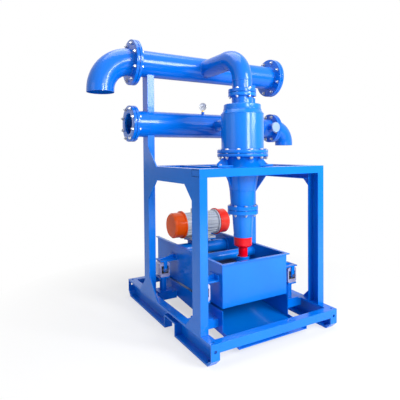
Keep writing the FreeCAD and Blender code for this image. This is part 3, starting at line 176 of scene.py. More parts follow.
# %% The paint recipe
def paint(name, colour, shade, roughness=0.24, coat=0.2, edge=0.0025, peel=0.00005):
    """Gloss paint: two near colours in clouds, an orange-peel skin and softened edges."""
    recipe = Recipe(name)
    cloud = recipe.noise(3.0, 3.0)
    skin = recipe.noise(260.0, 1.0)
    grime = recipe.noise(14.0, 4.0)
    tone = recipe.blend((cloud - 0.35) * 2.2, colour, shade)
    normal = recipe.bump(skin, peel, recipe.soft_edges(edge))
    return recipe.finish(
        Base_Color=tone, Roughness=(grime * 0.10 + (roughness - 0.05)).clamp(0.05, 0.9),
        Coat_Weight=coat, Coat_Roughness=0.06, Normal=normal, Specular_IOR_Level=0.25,
    )


frame_paint = paint("blue_frame_paint", linear(0, 118, 224), linear(0, 108, 212))
pipe_paint = paint("blue_pipe_paint", linear(0, 108, 216), linear(0, 98, 204), roughness=0.22, coat=0.25)
cap_paint = paint("orange_cap_paint", linear(255, 96, 4), linear(250, 86, 2))
red_cap_paint = paint("red_cap_paint", linear(255, 58, 40), linear(248, 50, 34))
cup_red = paint("red_polyurethane", linear(240, 0, 26), linear(224, 0, 20), roughness=0.3)
motor_paint = paint("grey_motor_paint", linear(214, 220, 226), linear(200, 206, 212), roughness=0.4, coat=0.1)
cap_blue = paint("pale_cap_paint", linear(150, 175, 215), linear(138, 165, 208), roughness=0.35, coat=0.2)
print("paints:", 7)

# %% [markdown]
# ## Bare metal, rubber and plastic
# Zinc-plated bolts are bright and a little blotchy. The suspension housings are cast aluminium, with
# a pebbled skin. Rubber is dull, with a faint grain. Each is one short recipe with its own scale.


# %% Metal and rubber recipes
def metal(name, bright, dull, roughness, scale, edge=0.001, depth=0.00004, metallic=1.0):
    """Bare metal: a blotchy plate or skin, rougher where it is dull."""
    recipe = Recipe(name)
    blotch = recipe.noise(scale, 4.0)
    grain = recipe.noise(scale * 8, 2.0)
    tone = recipe.blend((blotch - 0.3) * 2.0, bright, dull)
    normal = recipe.bump(grain, depth, recipe.soft_edges(edge))
    return recipe.finish(
        Base_Color=tone, Metallic=metallic, Roughness=blotch * 0.2 + (roughness - 0.1), Normal=normal,
    )


def dull(name, colour, shade, roughness, scale, depth=0.00008):
    """Rubber or moulded plastic: a dull body with a faint grain."""
    recipe = Recipe(name)
    cloud = recipe.noise(scale * 0.1, 3.0)
    grain = recipe.noise(scale, 2.0)
    return recipe.finish(
        Base_Color=recipe.blend(cloud, colour, shade), Roughness=grain * 0.1 + (roughness - 0.05),
        Normal=recipe.bump(grain, depth),
    )


zinc = metal("zinc_plate", linear(204, 206, 212), linear(168, 172, 180), 0.30, 90.0)
cast_aluminium = metal("cast_aluminium", linear(206, 206, 232), linear(186, 188, 214), 0.42, 60.0,
                       depth=0.00015, metallic=0.7)
core_steel = metal("core_steel", linear(150, 152, 158), linear(120, 122, 128), 0.4, 40.0)
chrome = metal("gauge_chrome", linear(225, 228, 232), linear(210, 214, 220), 0.16, 30.0)
brass = metal("gauge_brass", linear(214, 176, 98), linear(190, 150, 78), 0.3, 60.0)
winding = metal("winding_steel", linear(130, 110, 92), linear(104, 92, 84), 0.5, 50.0)
rubber = dull("black_rubber", linear(30, 30, 32), linear(22, 22, 24), 0.8, 300.0)
deck_plastic = dull("screen_polyurethane", linear(34, 52, 84), linear(26, 42, 70), 0.6, 200.0)
dial_white = dull("dial_white", linear(244, 246, 248), linear(238, 241, 245), 0.5, 400.0, 0.00001)
needle_black = dull("needle_black", linear(20, 20, 22), linear(14, 14, 16), 0.4, 400.0, 0.00001)
glass_recipe = Recipe("gauge_glass")
gauge_glass = glass_recipe.finish(
    Base_Color=(0.95, 0.98, 1.0, 1.0), Roughness=glass_recipe.noise(40.0) * 0.03 + 0.02,
    Alpha=glass_recipe.noise(20.0) * 0.02 + 0.14, IOR=1.45,
)
print("metals, rubbers and glass:", 11)

# %% Finishes by the record's slots
finishes = {
    "blue_paint": frame_paint, "pipe_paint": pipe_paint, "red_polyurethane": cup_red,
    "rubber_lining": rubber, "gasket_rubber": rubber, "zinc_bolts": zinc,
    "cast_aluminium": cast_aluminium, "core_steel": core_steel, "suspension_rubber": rubber,
    "screen_polyurethane": deck_plastic, "motor_grey": motor_paint, "cap_orange": cap_paint,
    "winding_steel": winding, "bearing_steel": chrome, "gauge_chrome": chrome, "dial_white": dial_white,
    "gauge_glass": gauge_glass, "needle_black": needle_black, "gauge_brass": brass,
}
slot_of = {part["node"]: part["material_slot"] for part in frame["record"]["subparts"]}
own_paint = {"nozzle_cap": cap_blue, "motor_cap_right": red_cap_paint}
for name, thing in frame["nodes"].items():
    own = own_paint.get(name, finishes[slot_of[name]])
    for slot in thing.material_slots:
        slot.material = own
print("CAD nodes with a finish:", len(slot_of))

# %% [markdown]
# ## Surfaces from formulas
# A pipe, a flange or a cone is a profile turned round an axis. An elbow is a circle carried along a
# bent path. Both are grids of points with two parameters, so numpy can work out every point at once.
# A walled pipe is a closed loop: out along the outer skin, round the lip and back along the bore.


# %% Grids of points
def grid(points):
    """Quads between neighbours of an (n, m, 3) grid that closes on itself both ways."""
    n, m = points.shape[:2]
    row, column = np.meshgrid(np.arange(n), np.arange(m), indexing="ij")
    next_row, next_column = (row + 1) % n, (column + 1) % m
    corners = [row * m + column, next_row * m + column, next_row * m + next_column, row * m + next_column]
    return points.reshape(-1, 3), np.stack(corners, -1).reshape(-1, 4)


def outward(points, quads):
    """Turns the faces round if the closed surface is inside out, so that its volume is negative."""
    a, b, c, d = (points[quads[:, k]] for k in range(4))
    volume = np.einsum("ij,ij->", a, np.cross(b, c)) + np.einsum("ij,ij->", a, np.cross(c, d))
    return quads if volume > 0 else quads[:, ::-1]


def rounded(corners, radius=0.003, steps=4):
    """Each corner of a closed outline becomes (1-t)^2 A + 2t(1-t) corner + t^2 B, near its sides."""
    corners = np.array(corners, float)
    to_last = np.roll(corners, 1, 0) - corners
    to_next = np.roll(corners, -1, 0) - corners
    last_length = np.linalg.norm(to_last, axis=1, keepdims=True)
    next_length = np.linalg.norm(to_next, axis=1, keepdims=True)
    reach = np.minimum(radius, 0.4 * np.minimum(last_length, next_length))
    reach = np.where(corners[:, :1] > 0, reach, 0)
    start = corners + to_last / last_length * reach
    end = corners + to_next / next_length * reach
    t = np.linspace(0, 1, steps)[None, :, None]
    curve = (1 - t) ** 2 * start[:, None] + 2 * t * (1 - t) * corners[:, None] + t ** 2 * end[:, None]
    return curve.reshape(-1, 2)


AXES = {"x": np.eye(3)[[1, 2, 0]], "y": np.eye(3)[[2, 0, 1]], "z": np.eye(3)}


def revolve(corners, spot, axis="z", radius=0.003, around=96, arc_steps=4):
    """spot + height * axis + r * (cos u * side + sin u * other side), for u round the circle."""
    profile = rounded(corners, radius, arc_steps)
    side, other, along = AXES[axis]
    u = np.linspace(0, 2 * np.pi, around, endpoint=False)[None, :, None]
    r, height = profile[:, None, :1], profile[:, None, 1:]
    return grid(np.array(spot) + height * along + r * (np.cos(u) * side + np.sin(u) * other))


def bent_path(start, first, second, bend, lead=0.0, tail=0.0, steps=24):
    """Straight, a quarter turn about its centre, straight: points and directions of travel."""
    start, first, second = (np.array(v, float) for v in (start, first, second))
    turn = np.linspace(0, np.pi / 2, steps)[:, None]
    centre = start + first * lead + second * bend
    arc = centre + first * bend * np.sin(turn) - second * bend * np.cos(turn)
    heading = first * np.cos(turn) + second * np.sin(turn)
    points = np.vstack([start, arc, arc[-1] + second * tail]) if lead else np.vstack([arc, arc[-1] + second * tail])
    headings = np.vstack([first, heading, second]) if lead else np.vstack([heading, second])
    return points, headings


def carry(path, outer, wall, around=72, stop=None):
    """path + r * (cos u * side + sin u * across): out along the skin and back along the bore."""
    points, headings = path
    across = np.cross(headings[0], headings[-1])
    across = across / np.linalg.norm(across)
    side = np.cross(headings, across)
    u = np.linspace(0, 2 * np.pi, around, endpoint=False)[None, :, None]
    there = np.vstack([points, points[::-1]])[:, None]
    beside = np.vstack([side, side[::-1]])[:, None]
    r = np.repeat([outer, outer - wall], len(points))[:, None, None]
    surface = there + r * (np.cos(u) * beside + np.sin(u) * across)
    return grid(surface if stop is None else stop(surface))


def bead(curve, away, radius=0.0035, ripple=0.0, around=10):
    """A weld: a small circle carried round a closed curve, with ripples r * (1 + a sin(k s))."""
    heading = np.roll(curve, -1, 0) - np.roll(curve, 1, 0)
    heading = heading / np.linalg.norm(heading, axis=1, keepdims=True)
    across = np.cross(heading, away)
    across = across / np.linalg.norm(across, axis=1, keepdims=True)
    s = np.arange(len(curve))
    r = (radius * (1 + ripple * np.sin(s * np.pi / 2)))[:, None, None]
    u = np.linspace(0, 2 * np.pi, around, endpoint=False)[None, :, None]
    return grid(curve[:, None] + r * (np.cos(u) * away[:, None] + np.sin(u) * across[:, None]))


def ring_bead(spot, axis, pipe_radius, radius=0.0045):
    """The weld round a pipe, on a circle about an axis."""
    count = int(2 * np.pi * pipe_radius / 0.0035)
    u = np.linspace(0, 2 * np.pi, count, endpoint=False)[:, None]
    side, other, _ = AXES[axis]
    away = np.cos(u) * side + np.sin(u) * other
    return bead(np.array(spot) + pipe_radius * away, away, radius, 0.10)


def piece(name, surfaces, finish, body, replaced=(), angle=32):
    """One object from closed surfaces: faces outwards, poles merged, smooth up to an angle."""
    starts = np.cumsum([0] + [len(points) for points, _ in surfaces])
    points = np.vstack([p for p, _ in surfaces])
    faces = np.vstack([outward(p, q) + first for (p, q), first in zip(surfaces, starts)])
    mesh = bpy.data.meshes.new(name)
    mesh.from_pydata(points.tolist(), [], faces.tolist())
    mesh.validate()
    thing = bpy.data.objects.new(name, mesh)
    bpy.context.scene.collection.objects.link(thing)
    close_poles(mesh)
    mesh.shade_smooth()
    mesh.set_sharp_from_angle(angle=math.radians(angle))
    mesh.materials.append(finish)
    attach(thing, body)
    if replaced:
        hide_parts(*replaced)
    print(name, len(mesh.polygons), "faces")
    return thing


def close_poles(mesh):
    """Merges points that lie in one place, such as a grid's row on its own axis."""
    import bmesh
    shell = bmesh.new()
    shell.from_mesh(mesh)
    bmesh.ops.remove_doubles(shell, verts=shell.verts, dist=1e-6)
    bmesh.ops.dissolve_degenerate(shell, edges=shell.edges, dist=1e-7)
    shell.to_mesh(mesh)
    shell.free()


# %% [markdown]
# ## The header pipes
# Two thick pipes run across the back of the frame: clean slurry leaves through the upper one, feed
# arrives through the lower one. Their ends are welded flanges with bolts. The turned profile holds the
# whole pipe, so its long highlight runs unbroken, and each flange edge is rounded by 3 mm.

# %% Places taken from the CAD part
def middle_of(name):
    first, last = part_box(name)
    return (np.array(first) + np.array(last)) / 2


upper_low, upper_high = (np.array(v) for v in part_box("overflow_header"))
lower_low, lower_high = (np.array(v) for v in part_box("feed_header"))
CYCLONE_Y = float(middle_of("cyclone_cover")[1])
HEADER_Y = float(middle_of("overflow_header")[1])
UPPER_Z = float(middle_of("overflow_header")[2])
LOWER_Z = float(middle_of("feed_inlet_flange")[2])
PIPE, PIPE_WALL, FLANGE = 0.1095, 0.006, 0.024
UPPER_FLANGE, LOWER_FLANGE, END_FLANGE, END_PIPE = 0.1845, 0.150, 0.142, 0.088
print("headers at", HEADER_Y, UPPER_Z, LOWER_Z, "cyclone at", CYCLONE_Y)


def flange_ring(outer, bore, spot, axis="x", wall=FLANGE):
    return revolve([(bore, 0), (outer, 0), (outer, wall), (bore, wall)], spot, axis)


def saddle(surface, radius, spot_x=None):
    """Stops a branch along Y at the middle of the wall of the header that it enters."""
    level = UPPER_Z if surface[..., 2].mean() > (UPPER_Z + LOWER_Z) / 2 else LOWER_Z
    limit = HEADER_Y - np.sqrt(radius ** 2 - np.clip(surface[..., 2] - level, -radius, radius) ** 2)
    stopped = surface.copy()
    stopped[..., 1] = np.minimum(surface[..., 1], limit)
    return stopped


# %% The upper header
x0, x1 = float(upper_low[0]), float(upper_high[0])
length = x1 - x0
bore = PIPE - PIPE_WALL
upper_pipe = revolve([
    (bore, 0), (UPPER_FLANGE, 0), (UPPER_FLANGE, FLANGE), (PIPE, FLANGE), (PIPE, length - FLANGE),
    (UPPER_FLANGE, length - FLANGE), (UPPER_FLANGE, length), (bore, length),
], (x0, HEADER_Y, UPPER_Z), "x", around=128)
piece("upper_header_pipe", [upper_pipe], pipe_paint, "frame", ["overflow_header"])
blind_low, blind_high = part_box("blind_flange")
piece("blind_flange_disc", [revolve([(0, 0), (UPPER_FLANGE, 0), (UPPER_FLANGE, FLANGE), (0, FLANGE)],
                                    (blind_low[0], HEADER_Y, UPPER_Z), "x")],
      pipe_paint, "frame", ["blind_flange"])

# %% The discharge elbow and the feed elbow
bend_low, bend_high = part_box("discharge_elbow")
elbow_face = float(bend_high[0]) - FLANGE
UPPER_BEND, UPPER_TAIL = 0.245, 0.018
elbow_path = bent_path((elbow_face, HEADER_Y, UPPER_Z), (-1, 0, 0), (0, 0, -1), UPPER_BEND, tail=UPPER_TAIL)
piece("discharge_bend", [flange_ring(UPPER_FLANGE, bore, (elbow_face, HEADER_Y, UPPER_Z)),
                         carry(elbow_path, PIPE, PIPE_WALL)],
      pipe_paint, "frame", ["discharge_elbow"])
feed_low, feed_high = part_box("feed_elbow")
feed_face = float(feed_low[0]) + FLANGE
LOWER_BEND, LOWER_TAIL = 0.145, 0.027
feed_path = bent_path((feed_face, HEADER_Y, LOWER_Z), (1, 0, 0), (0, 0, -1), LOWER_BEND, tail=LOWER_TAIL)
piece("feed_bend", [flange_ring(END_FLANGE, END_PIPE - PIPE_WALL, (feed_low[0], HEADER_Y, LOWER_Z)),
                    carry(feed_path, END_PIPE, PIPE_WALL)],
      pipe_paint, "frame", ["feed_elbow"])

# %% The lower header with its reducer, nozzle and gauge socket
lower_x0, lower_x1 = float(lower_low[0]), float(lower_high[0])
lower_length = lower_x1 - lower_x0
NOZZLE_X = float(middle_of("nozzle_cap")[0])
NOZZLE, SOCKET = 0.040, 0.014
reducer_end = NOZZLE_X - NOZZLE - FLANGE - lower_x0
reducer_start = reducer_end - PIPE / 2
end_bore = END_PIPE - PIPE_WALL
lower_pipe = revolve([
    (bore, 0), (LOWER_FLANGE, 0), (LOWER_FLANGE, FLANGE), (PIPE, FLANGE), (PIPE, reducer_start),
    (END_PIPE, reducer_end), (END_PIPE, lower_length - FLANGE), (END_FLANGE, lower_length - FLANGE),
    (END_FLANGE, lower_length), (end_bore, lower_length), (end_bore, reducer_end), (bore, reducer_start),
], (lower_x0, HEADER_Y, LOWER_Z), "x", around=128)
nozzle_front = float(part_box("nozzle_cap")[1][1])
nozzle_pipe = revolve([
    (NOZZLE - PIPE_WALL, 0), (NOZZLE, 0), (NOZZLE, HEADER_Y - END_PIPE / 2 - nozzle_front - 0.02),
    (NOZZLE - PIPE_WALL, HEADER_Y - END_PIPE / 2 - nozzle_front - 0.02),
], (NOZZLE_X, nozzle_front, LOWER_Z), "y", around=48)
stem_low, stem_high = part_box("gauge_stem")
socket_foot = LOWER_Z + bore + 0.002
socket = revolve([
    (0.006, 0), (SOCKET, 0), (SOCKET, PIPE - bore + 0.018), (0.006, PIPE - bore + 0.018),
], (middle_of("gauge_stem")[0], HEADER_Y, socket_foot), "z", 0.002, 32)
piece("lower_header_pipe", [lower_pipe, nozzle_pipe, socket], pipe_paint, "frame",
      ["feed_header"])
inlet_low, inlet_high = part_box("feed_inlet_flange")
piece("feed_inlet_ring", [flange_ring(LOWER_FLANGE, 0.087, (inlet_low[0], HEADER_Y, LOWER_Z))],
      pipe_paint, "frame", ["feed_inlet_flange"])
cap_low, cap_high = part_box("nozzle_cap")
CAP = float(cap_high[2] - cap_low[2]) / 2
cap_depth = float(cap_high[1] - cap_low[1])
piece("nozzle_end_cap", [revolve([(0, 0), (CAP - 0.004, 0), (CAP, 0.004), (CAP, cap_depth), (0, cap_depth)],
                                 (NOZZLE_X, cap_low[1], LOWER_Z), "y", 0.0015, 64)],
      cap_blue, "frame", ["nozzle_cap"])

# %% [markdown]
# ## The cyclone
# The cyclone is a stack of turned shells: a neck and cover, a drum, a long two-stage cone, a short cone
# and a red cup with its spigot. Each is one profile, so the cones meet their flanges cleanly. The drum
# also has the inlet pipe, which comes in beside the axis to set the slurry spinning.

# %% The neck and the drum
NECK, NECK_WALL, CLAMP, CLAMP_WALL = 0.082, 0.008, 0.109, 0.026
cover_low, cover_high = (float(v[2]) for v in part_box("cyclone_cover"))
COVER, COVER_DEPTH, BODY = 0.145, 0.040, 0.166
neck_foot = COVER_DEPTH
neck_top = cover_high - cover_low
cover_turned = revolve([
    (0.0623, 0), (COVER, 0), (COVER, COVER_DEPTH - 0.004), (COVER - 0.004, COVER_DEPTH),
    (NECK, COVER_DEPTH), (NECK, neck_top - CLAMP_WALL), (CLAMP, neck_top - CLAMP_WALL), (CLAMP, neck_top),
    (NECK - NECK_WALL, neck_top), (NECK - NECK_WALL, COVER_DEPTH), (0.0623, COVER_DEPTH),
], (0, CYCLONE_Y, cover_low), radius=0.002)
piece("neck_and_cover", [cover_turned], frame_paint, "frame", ["cyclone_cover"])

drum_low, drum_high = (float(v[2]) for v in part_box("cyclone_body"))
HEAD_FLANGE, HEAD_WALL, SHOULDER = 0.199, 0.024, 0.034
drum = drum_high - drum_low
drum_turned = revolve([
    (BODY - NECK_WALL, 0), (HEAD_FLANGE, 0), (HEAD_FLANGE, HEAD_WALL), (BODY, HEAD_WALL),
    (BODY, drum - SHOULDER), (COVER, drum), (COVER - NECK_WALL, drum), (BODY - NECK_WALL, drum - SHOULDER),
], (0, CYCLONE_Y, drum_low), around=128)
INLET, INLET_X = 0.050, 0.098
inlet_start = CYCLONE_Y + 0.05


def inlet_stops(surface):
    """The inlet pipe runs from the drum's wall to the middle of the header's wall."""
    stopped = saddle(surface, PIPE - PIPE_WALL / 2)
    drum_wall = CYCLONE_Y + np.sqrt(np.clip((BODY - 0.002) ** 2 - surface[..., 0] ** 2, 0, None))
    stopped[..., 1] = np.maximum(stopped[..., 1], drum_wall)
    return stopped


straight = (np.array([[INLET_X, inlet_start, LOWER_Z], [INLET_X, HEADER_Y, LOWER_Z]]),
            np.array([[0, 1.0, 0], [0, 1.0, 0]]))


def carry_straight(path, outer, wall, stop, around=64):
    """A straight walled pipe along Y: the same loop as an elbow's, with fixed sides."""
    points, _ = path
    u = np.linspace(0, 2 * np.pi, around, endpoint=False)[None, :, None]
    there = np.vstack([points, points[::-1]])[:, None]
    r = np.repeat([outer, outer - wall], len(points))[:, None, None]
    return grid(stop(there + r * (np.cos(u) * AXES["z"][0] + np.sin(u) * AXES["z"][2])))


inlet_pipe = carry_straight(straight, INLET, PIPE_WALL, inlet_stops)
piece("cyclone_drum", [drum_turned, inlet_pipe], frame_paint, "frame", ["cyclone_body"])

# %% The overflow elbow
elbow_foot = float(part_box("overflow_elbow")[0][2])
OVERFLOW, CYCLONE_BEND = 0.078, 0.195
rise = UPPER_Z - CYCLONE_BEND - elbow_foot
run = HEADER_Y - (CYCLONE_Y + CYCLONE_BEND)
over_path = bent_path((0, CYCLONE_Y, elbow_foot), (0, 0, 1), (0, 1, 0), CYCLONE_BEND, lead=rise, tail=run)
over_clamp = revolve([
    (OVERFLOW - PIPE_WALL, 0), (CLAMP, 0), (CLAMP, CLAMP_WALL), (OVERFLOW - PIPE_WALL, CLAMP_WALL),
], (0, CYCLONE_Y, elbow_foot), radius=0.002)
over_bend = carry(over_path, OVERFLOW, PIPE_WALL, 96, lambda s: saddle(s, PIPE - PIPE_WALL / 2))
piece("overflow_bend", [over_clamp, over_bend], pipe_paint, "frame", ["overflow_elbow"])

# %% The cones
cone_low, cone_high = (float(v[2]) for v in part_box("upper_cone"))
CONE_TOP, CONE_KNEE, CONE_END, APEX_FLANGE, APEX_WALL = 0.150, 0.103, 0.094, 0.119, 0.030
cone = cone_high - cone_low
knee = 1.066 - cone_low
upper_turned = revolve([
    (CONE_END - NECK_WALL, 0), (APEX_FLANGE, 0), (APEX_FLANGE, APEX_WALL), (CONE_END, APEX_WALL),
    (CONE_KNEE, knee), (CONE_TOP, cone - HEAD_WALL), (HEAD_FLANGE, cone - HEAD_WALL), (HEAD_FLANGE, cone),
    (CONE_TOP - NECK_WALL, cone), (CONE_TOP - NECK_WALL, cone - HEAD_WALL), (CONE_KNEE - NECK_WALL, knee),
], (0, CYCLONE_Y, cone_low), around=128)
short_low, short_high = (float(v[2]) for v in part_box("lower_cone"))
SHORT_TOP, SHORT_END, CUP, SPIGOT = 0.084, 0.072, 0.070, 0.036
lip, cup_top, boss_end = 0.714 - short_low, 0.698 - short_low, 0
short = short_high - short_low
lower_turned = revolve([
    (0.052, 0), (0.0617, 0), (0.0617, cup_top), (SHORT_END + 0.002, cup_top), (SHORT_END + 0.002, lip),
    (SHORT_END, lip), (SHORT_TOP, short - APEX_WALL), (APEX_FLANGE, short - APEX_WALL), (APEX_FLANGE, short),
    (SHORT_TOP - NECK_WALL, short), (SHORT_TOP - NECK_WALL, short - APEX_WALL),
    (SHORT_END - NECK_WALL, lip), (0.052, cup_top),
], (0, CYCLONE_Y, short_low), radius=0.0015, around=96)
piece("short_cone", [lower_turned], frame_paint, "frame", ["lower_cone"])


def plate(corners, half_wall, across):
    """A flat plate: an outline in the XZ plane, made solid by half its thickness each way along Y."""
    outline = rounded(np.array(corners), 0.002, 3)
    front = np.column_stack([outline[:, 0], np.full(len(outline), across - half_wall), outline[:, 1]])
    back = front + [0, 2 * half_wall, 0]
    middle_front = np.tile(front.mean(0), (len(front), 1))
    middle_back = np.tile(back.mean(0), (len(back), 1))
    return grid(np.stack([middle_front, front, back, middle_back]))


def slab(low, high):
    """A plain box between two opposite corners."""
    x, y, z = zip(low, high)
    points = np.array([(i, j, k) for i in x for j in y for k in z])
    return points, np.array([(0, 1, 3, 2), (4, 6, 7, 5), (0, 4, 5, 1), (2, 3, 7, 6), (0, 2, 6, 4), (1, 5, 7, 3)])


def box_of(name):
    """The two opposite corners of a CAD node's box."""
    thing = frame["nodes"][name]
    corners = np.array([thing.matrix_world @ vertex.co for vertex in thing.data.vertices])
    return corners.min(0), corners.max(0)


LUG_LEVEL, LUG_REACH, SEAT = 1.252, 0.262, 0.012
lugs = []
for side in (-1, 1):
    fin = [(0.099, 1.066), (0.192, LUG_LEVEL), (0.238, LUG_LEVEL), (0.238, 1.272), (0.186, 1.318),
           (0.146, 1.318), (0.146, 1.3275)]
    corner_spots = [(x * side + 0, z) for x, z in fin]
    outline_x = [10 + x for x, _ in corner_spots]
    shape = plate([(x, z) for x, (_, z) in zip(outline_x, corner_spots)], 0.006, CYCLONE_Y)
    lugs.append((shape[0] - [10, 0, 0], shape[1]))
    ends = sorted((0.127 * side, LUG_REACH * side))
    seat = plate([(10 + ends[0], LUG_LEVEL), (10 + ends[1], LUG_LEVEL), (10 + ends[1], LUG_LEVEL + SEAT),
                  (10 + ends[0], LUG_LEVEL + SEAT)], 0.055, CYCLONE_Y)
    lugs.append((seat[0] - [10, 0, 0], seat[1]))
piece("long_cone_and_lugs", [upper_turned, *lugs], frame_paint, "frame", ["upper_cone"])

# %% The red cup and spigot
cup_low, cup_high = (float(v[2]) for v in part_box("apex_cup"))
cup = cup_high - cup_low
cup_turned = revolve([
    (SPIGOT + 0.0003, 0), (SPIGOT + 0.008, 0), (CUP, 0.016), (CUP, cup), (CUP - 0.008, cup), (CUP - 0.008, 0.016),
    (SPIGOT + 0.0003, 0.016),
], (0, CYCLONE_Y, cup_low), radius=0.004, around=96)
u = np.linspace(0, 2 * np.pi, 96, endpoint=False)
piece("red_cup", [cup_turned], cup_red, "frame", ["apex_cup"])
spigot_low, spigot_high = (float(v[2]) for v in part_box("apex_spigot"))
collar = cup_low + 0.016 - spigot_low
spigot = spigot_high - spigot_low
piece("red_spigot", [revolve([
    (0.022, 0), (SPIGOT, 0), (SPIGOT, collar), (0.0617, collar), (0.0617, spigot), (0.022, spigot),
], (0, CYCLONE_Y, spigot_low), radius=0.002, around=72)], cup_red, "frame",
    ["apex_spigot"])

# %% [markdown]
# ## Welds
# Every pipe, flange and branch on the machine is welded, and the beads under the paint are what make
# the joints look made rather than drawn. A bead is a small circle carried round its joint, with a
# ripple every few millimetres. Where a branch meets a header, the curve is that of two crossing pipes.


# %% Weld beads
def branch_curve(pipe_x, level, branch, main, sign=-1, main_y=None):
    """x = X + r cos t, z = Z + r sin t, y = Y -+ sqrt(R^2 - (r sin t)^2)."""
    count = int(2 * np.pi * branch / 0.0035)
    t = np.linspace(0, 2 * np.pi, count, endpoint=False)
    y = (HEADER_Y if main_y is None else main_y) + sign * np.sqrt(main ** 2 - (branch * np.sin(t)) ** 2)
    curve = np.column_stack([pipe_x + branch * np.cos(t), y, level + branch * np.sin(t)])
    away = np.column_stack([np.cos(t), np.zeros(count), np.sin(t)])
    return bead(curve, away, 0.005, 0.10)


t = np.linspace(0, 2 * np.pi, 90, endpoint=False)
drum_x = INLET_X + INLET * np.cos(t)
drum_curve = np.column_stack([drum_x, CYCLONE_Y + np.sqrt(BODY ** 2 - drum_x ** 2), LOWER_Z + INLET * np.sin(t)])
drum_away = np.column_stack([np.cos(t), np.zeros(90), np.sin(t)])
along_x = [
    (x0 + FLANGE, UPPER_Z, PIPE), (x1 - FLANGE, UPPER_Z, PIPE), (elbow_face, UPPER_Z, PIPE),
    (elbow_face + 0.0, UPPER_Z, PIPE), (lower_x0 + FLANGE, LOWER_Z, PIPE),
    (lower_x0 + reducer_start, LOWER_Z, PIPE), (lower_x0 + reducer_end, LOWER_Z, END_PIPE),
    (lower_x1 - FLANGE, LOWER_Z, END_PIPE), (feed_face, LOWER_Z, END_PIPE),
]
pipe_beads = [ring_bead((x, HEADER_Y, level), "x", pipe) for x, level, pipe in along_x]
pipe_beads.append(ring_bead((lower_x0 + 0.128, HEADER_Y, LOWER_Z), "x", PIPE - 0.001, 0.003))
pipe_beads.append(ring_bead((0, CYCLONE_Y, elbow_foot + CLAMP_WALL), "z", OVERFLOW))
pipe_beads.append(ring_bead((0, CYCLONE_Y, elbow_foot + rise), "z", OVERFLOW - 0.001, 0.003))
pipe_beads.append(ring_bead((0, CYCLONE_Y + CYCLONE_BEND, UPPER_Z), "y", OVERFLOW - 0.001, 0.003))
pipe_beads.append(branch_curve(0, UPPER_Z, OVERFLOW, PIPE))
pipe_beads.append(branch_curve(INLET_X, LOWER_Z, INLET, PIPE))
pipe_beads.append(branch_curve(NOZZLE_X, LOWER_Z, NOZZLE, END_PIPE))
piece("pipe_welds", pipe_beads, pipe_paint, "frame", angle=80)
cyclone_beads = [
    ring_bead((0, CYCLONE_Y, level), "z", pipe, size) for level, pipe, size in (
        (cover_low + COVER_DEPTH, NECK, 0.0045), (cover_high - CLAMP_WALL, NECK, 0.0045),
        (drum_high, COVER, 0.004), (drum_high - SHOULDER, BODY - 0.001, 0.003),
        (drum_low + HEAD_WALL, BODY, 0.005), (cone_high - HEAD_WALL, CONE_TOP, 0.005),
        (cone_low + knee, CONE_KNEE - 0.001, 0.003), (cone_low + APEX_WALL, CONE_END, 0.0045),
        (short_high - APEX_WALL, SHORT_TOP, 0.0045),
    )
]
cyclone_beads.append(bead(drum_curve, drum_away, 0.005, 0.10))
piece("cyclone_welds", cyclone_beads, frame_paint, "frame", angle=80)

# %% [markdown]
# ## Bolt ends and washers
# The CAD bolts are plain shanks with hexagon heads. On the machine each has a washer and a rounded,
# threaded end that stands out of its nut. One ring and one stub are worked out once, then placed on
# all bolts of a circle together, by adding every bolt's spot to every point.


# %% Washers and bolt ends
def on_circle(spot, axis, pitch, count):
    """The centres of bolts on a circle, half a step from the first side."""
    turn = ((2 * np.arange(count) + 1) * np.pi / count)[:, None]
    side, other, _ = AXES[axis]
    return np.array(spot) + pitch * (np.cos(turn) * side + np.sin(turn) * other)


def scatter(shape, spots):
    """Copies of one closed surface, each moved to its own spot."""
    points, quads = shape
    return [(points + spot, quads) for spot in spots]


def washers_and_ends(spots, axis, grip, washer, bolt, nut):
    """A washer at each end of the grip, and a domed stub that stands out of the nut."""
    along = AXES[axis][2]
    ring = revolve([(bolt, 0), (washer, 0), (washer, 0.0025), (bolt, 0.0025)], (0, 0, 0), axis, 0.0006, 24, 2)
    stub = revolve([(0, -0.009), (bolt * 0.7, -0.009), (bolt * 0.95, -0.006), (bolt * 0.95, 0), (0, 0)],
                   (0, 0, 0), axis, 0.0006, 16, 2)
    lower = scatter(ring, spots - along * 0.0025)
    upper = scatter(ring, spots + along * grip)
    return lower + upper + scatter(stub, spots - along * nut)


LARGE, SMALL = (0.0155, 0.008, 0.013), (0.0125, 0.006, 0.008)
GASKET, JOINTS = 0.003, []
upper_joint, lower_joint = x0 - GASKET / 2, lower_x0 - GASKET / 2
for joint, level, pitch in (
    (x0 - GASKET, UPPER_Z, 0.1555), (x1, UPPER_Z, 0.1555),
    (lower_x0 - GASKET, LOWER_Z, 0.130), (lower_x1, LOWER_Z, 0.119),
):
    spots = on_circle((joint - FLANGE, HEADER_Y, level), "x", pitch, 8)
    JOINTS += washers_and_ends(spots, "x", 2 * FLANGE + GASKET, *LARGE)
for foot, pitch, count, wall, kind in (
    (cone_high - HEAD_WALL, 0.184, 12, HEAD_WALL, LARGE),
    (short_high - APEX_WALL, 0.106, 8, APEX_WALL, SMALL),
    (cover_high - CLAMP_WALL, (CLAMP + NECK) / 2, 6, CLAMP_WALL, SMALL),
):
    spots = on_circle((0, CYCLONE_Y, foot), "z", pitch, count)
    JOINTS += washers_and_ends(spots, "z", 2 * wall + GASKET, *kind)
piece("washers_and_bolt_ends", JOINTS, zinc, "frame", angle=40)

# %% [markdown]
# ## Closed beam ends
# The front beam at the top of the frame is a box section. A welder closes its two ends with plates,
# let in a little, so that rain stays out.


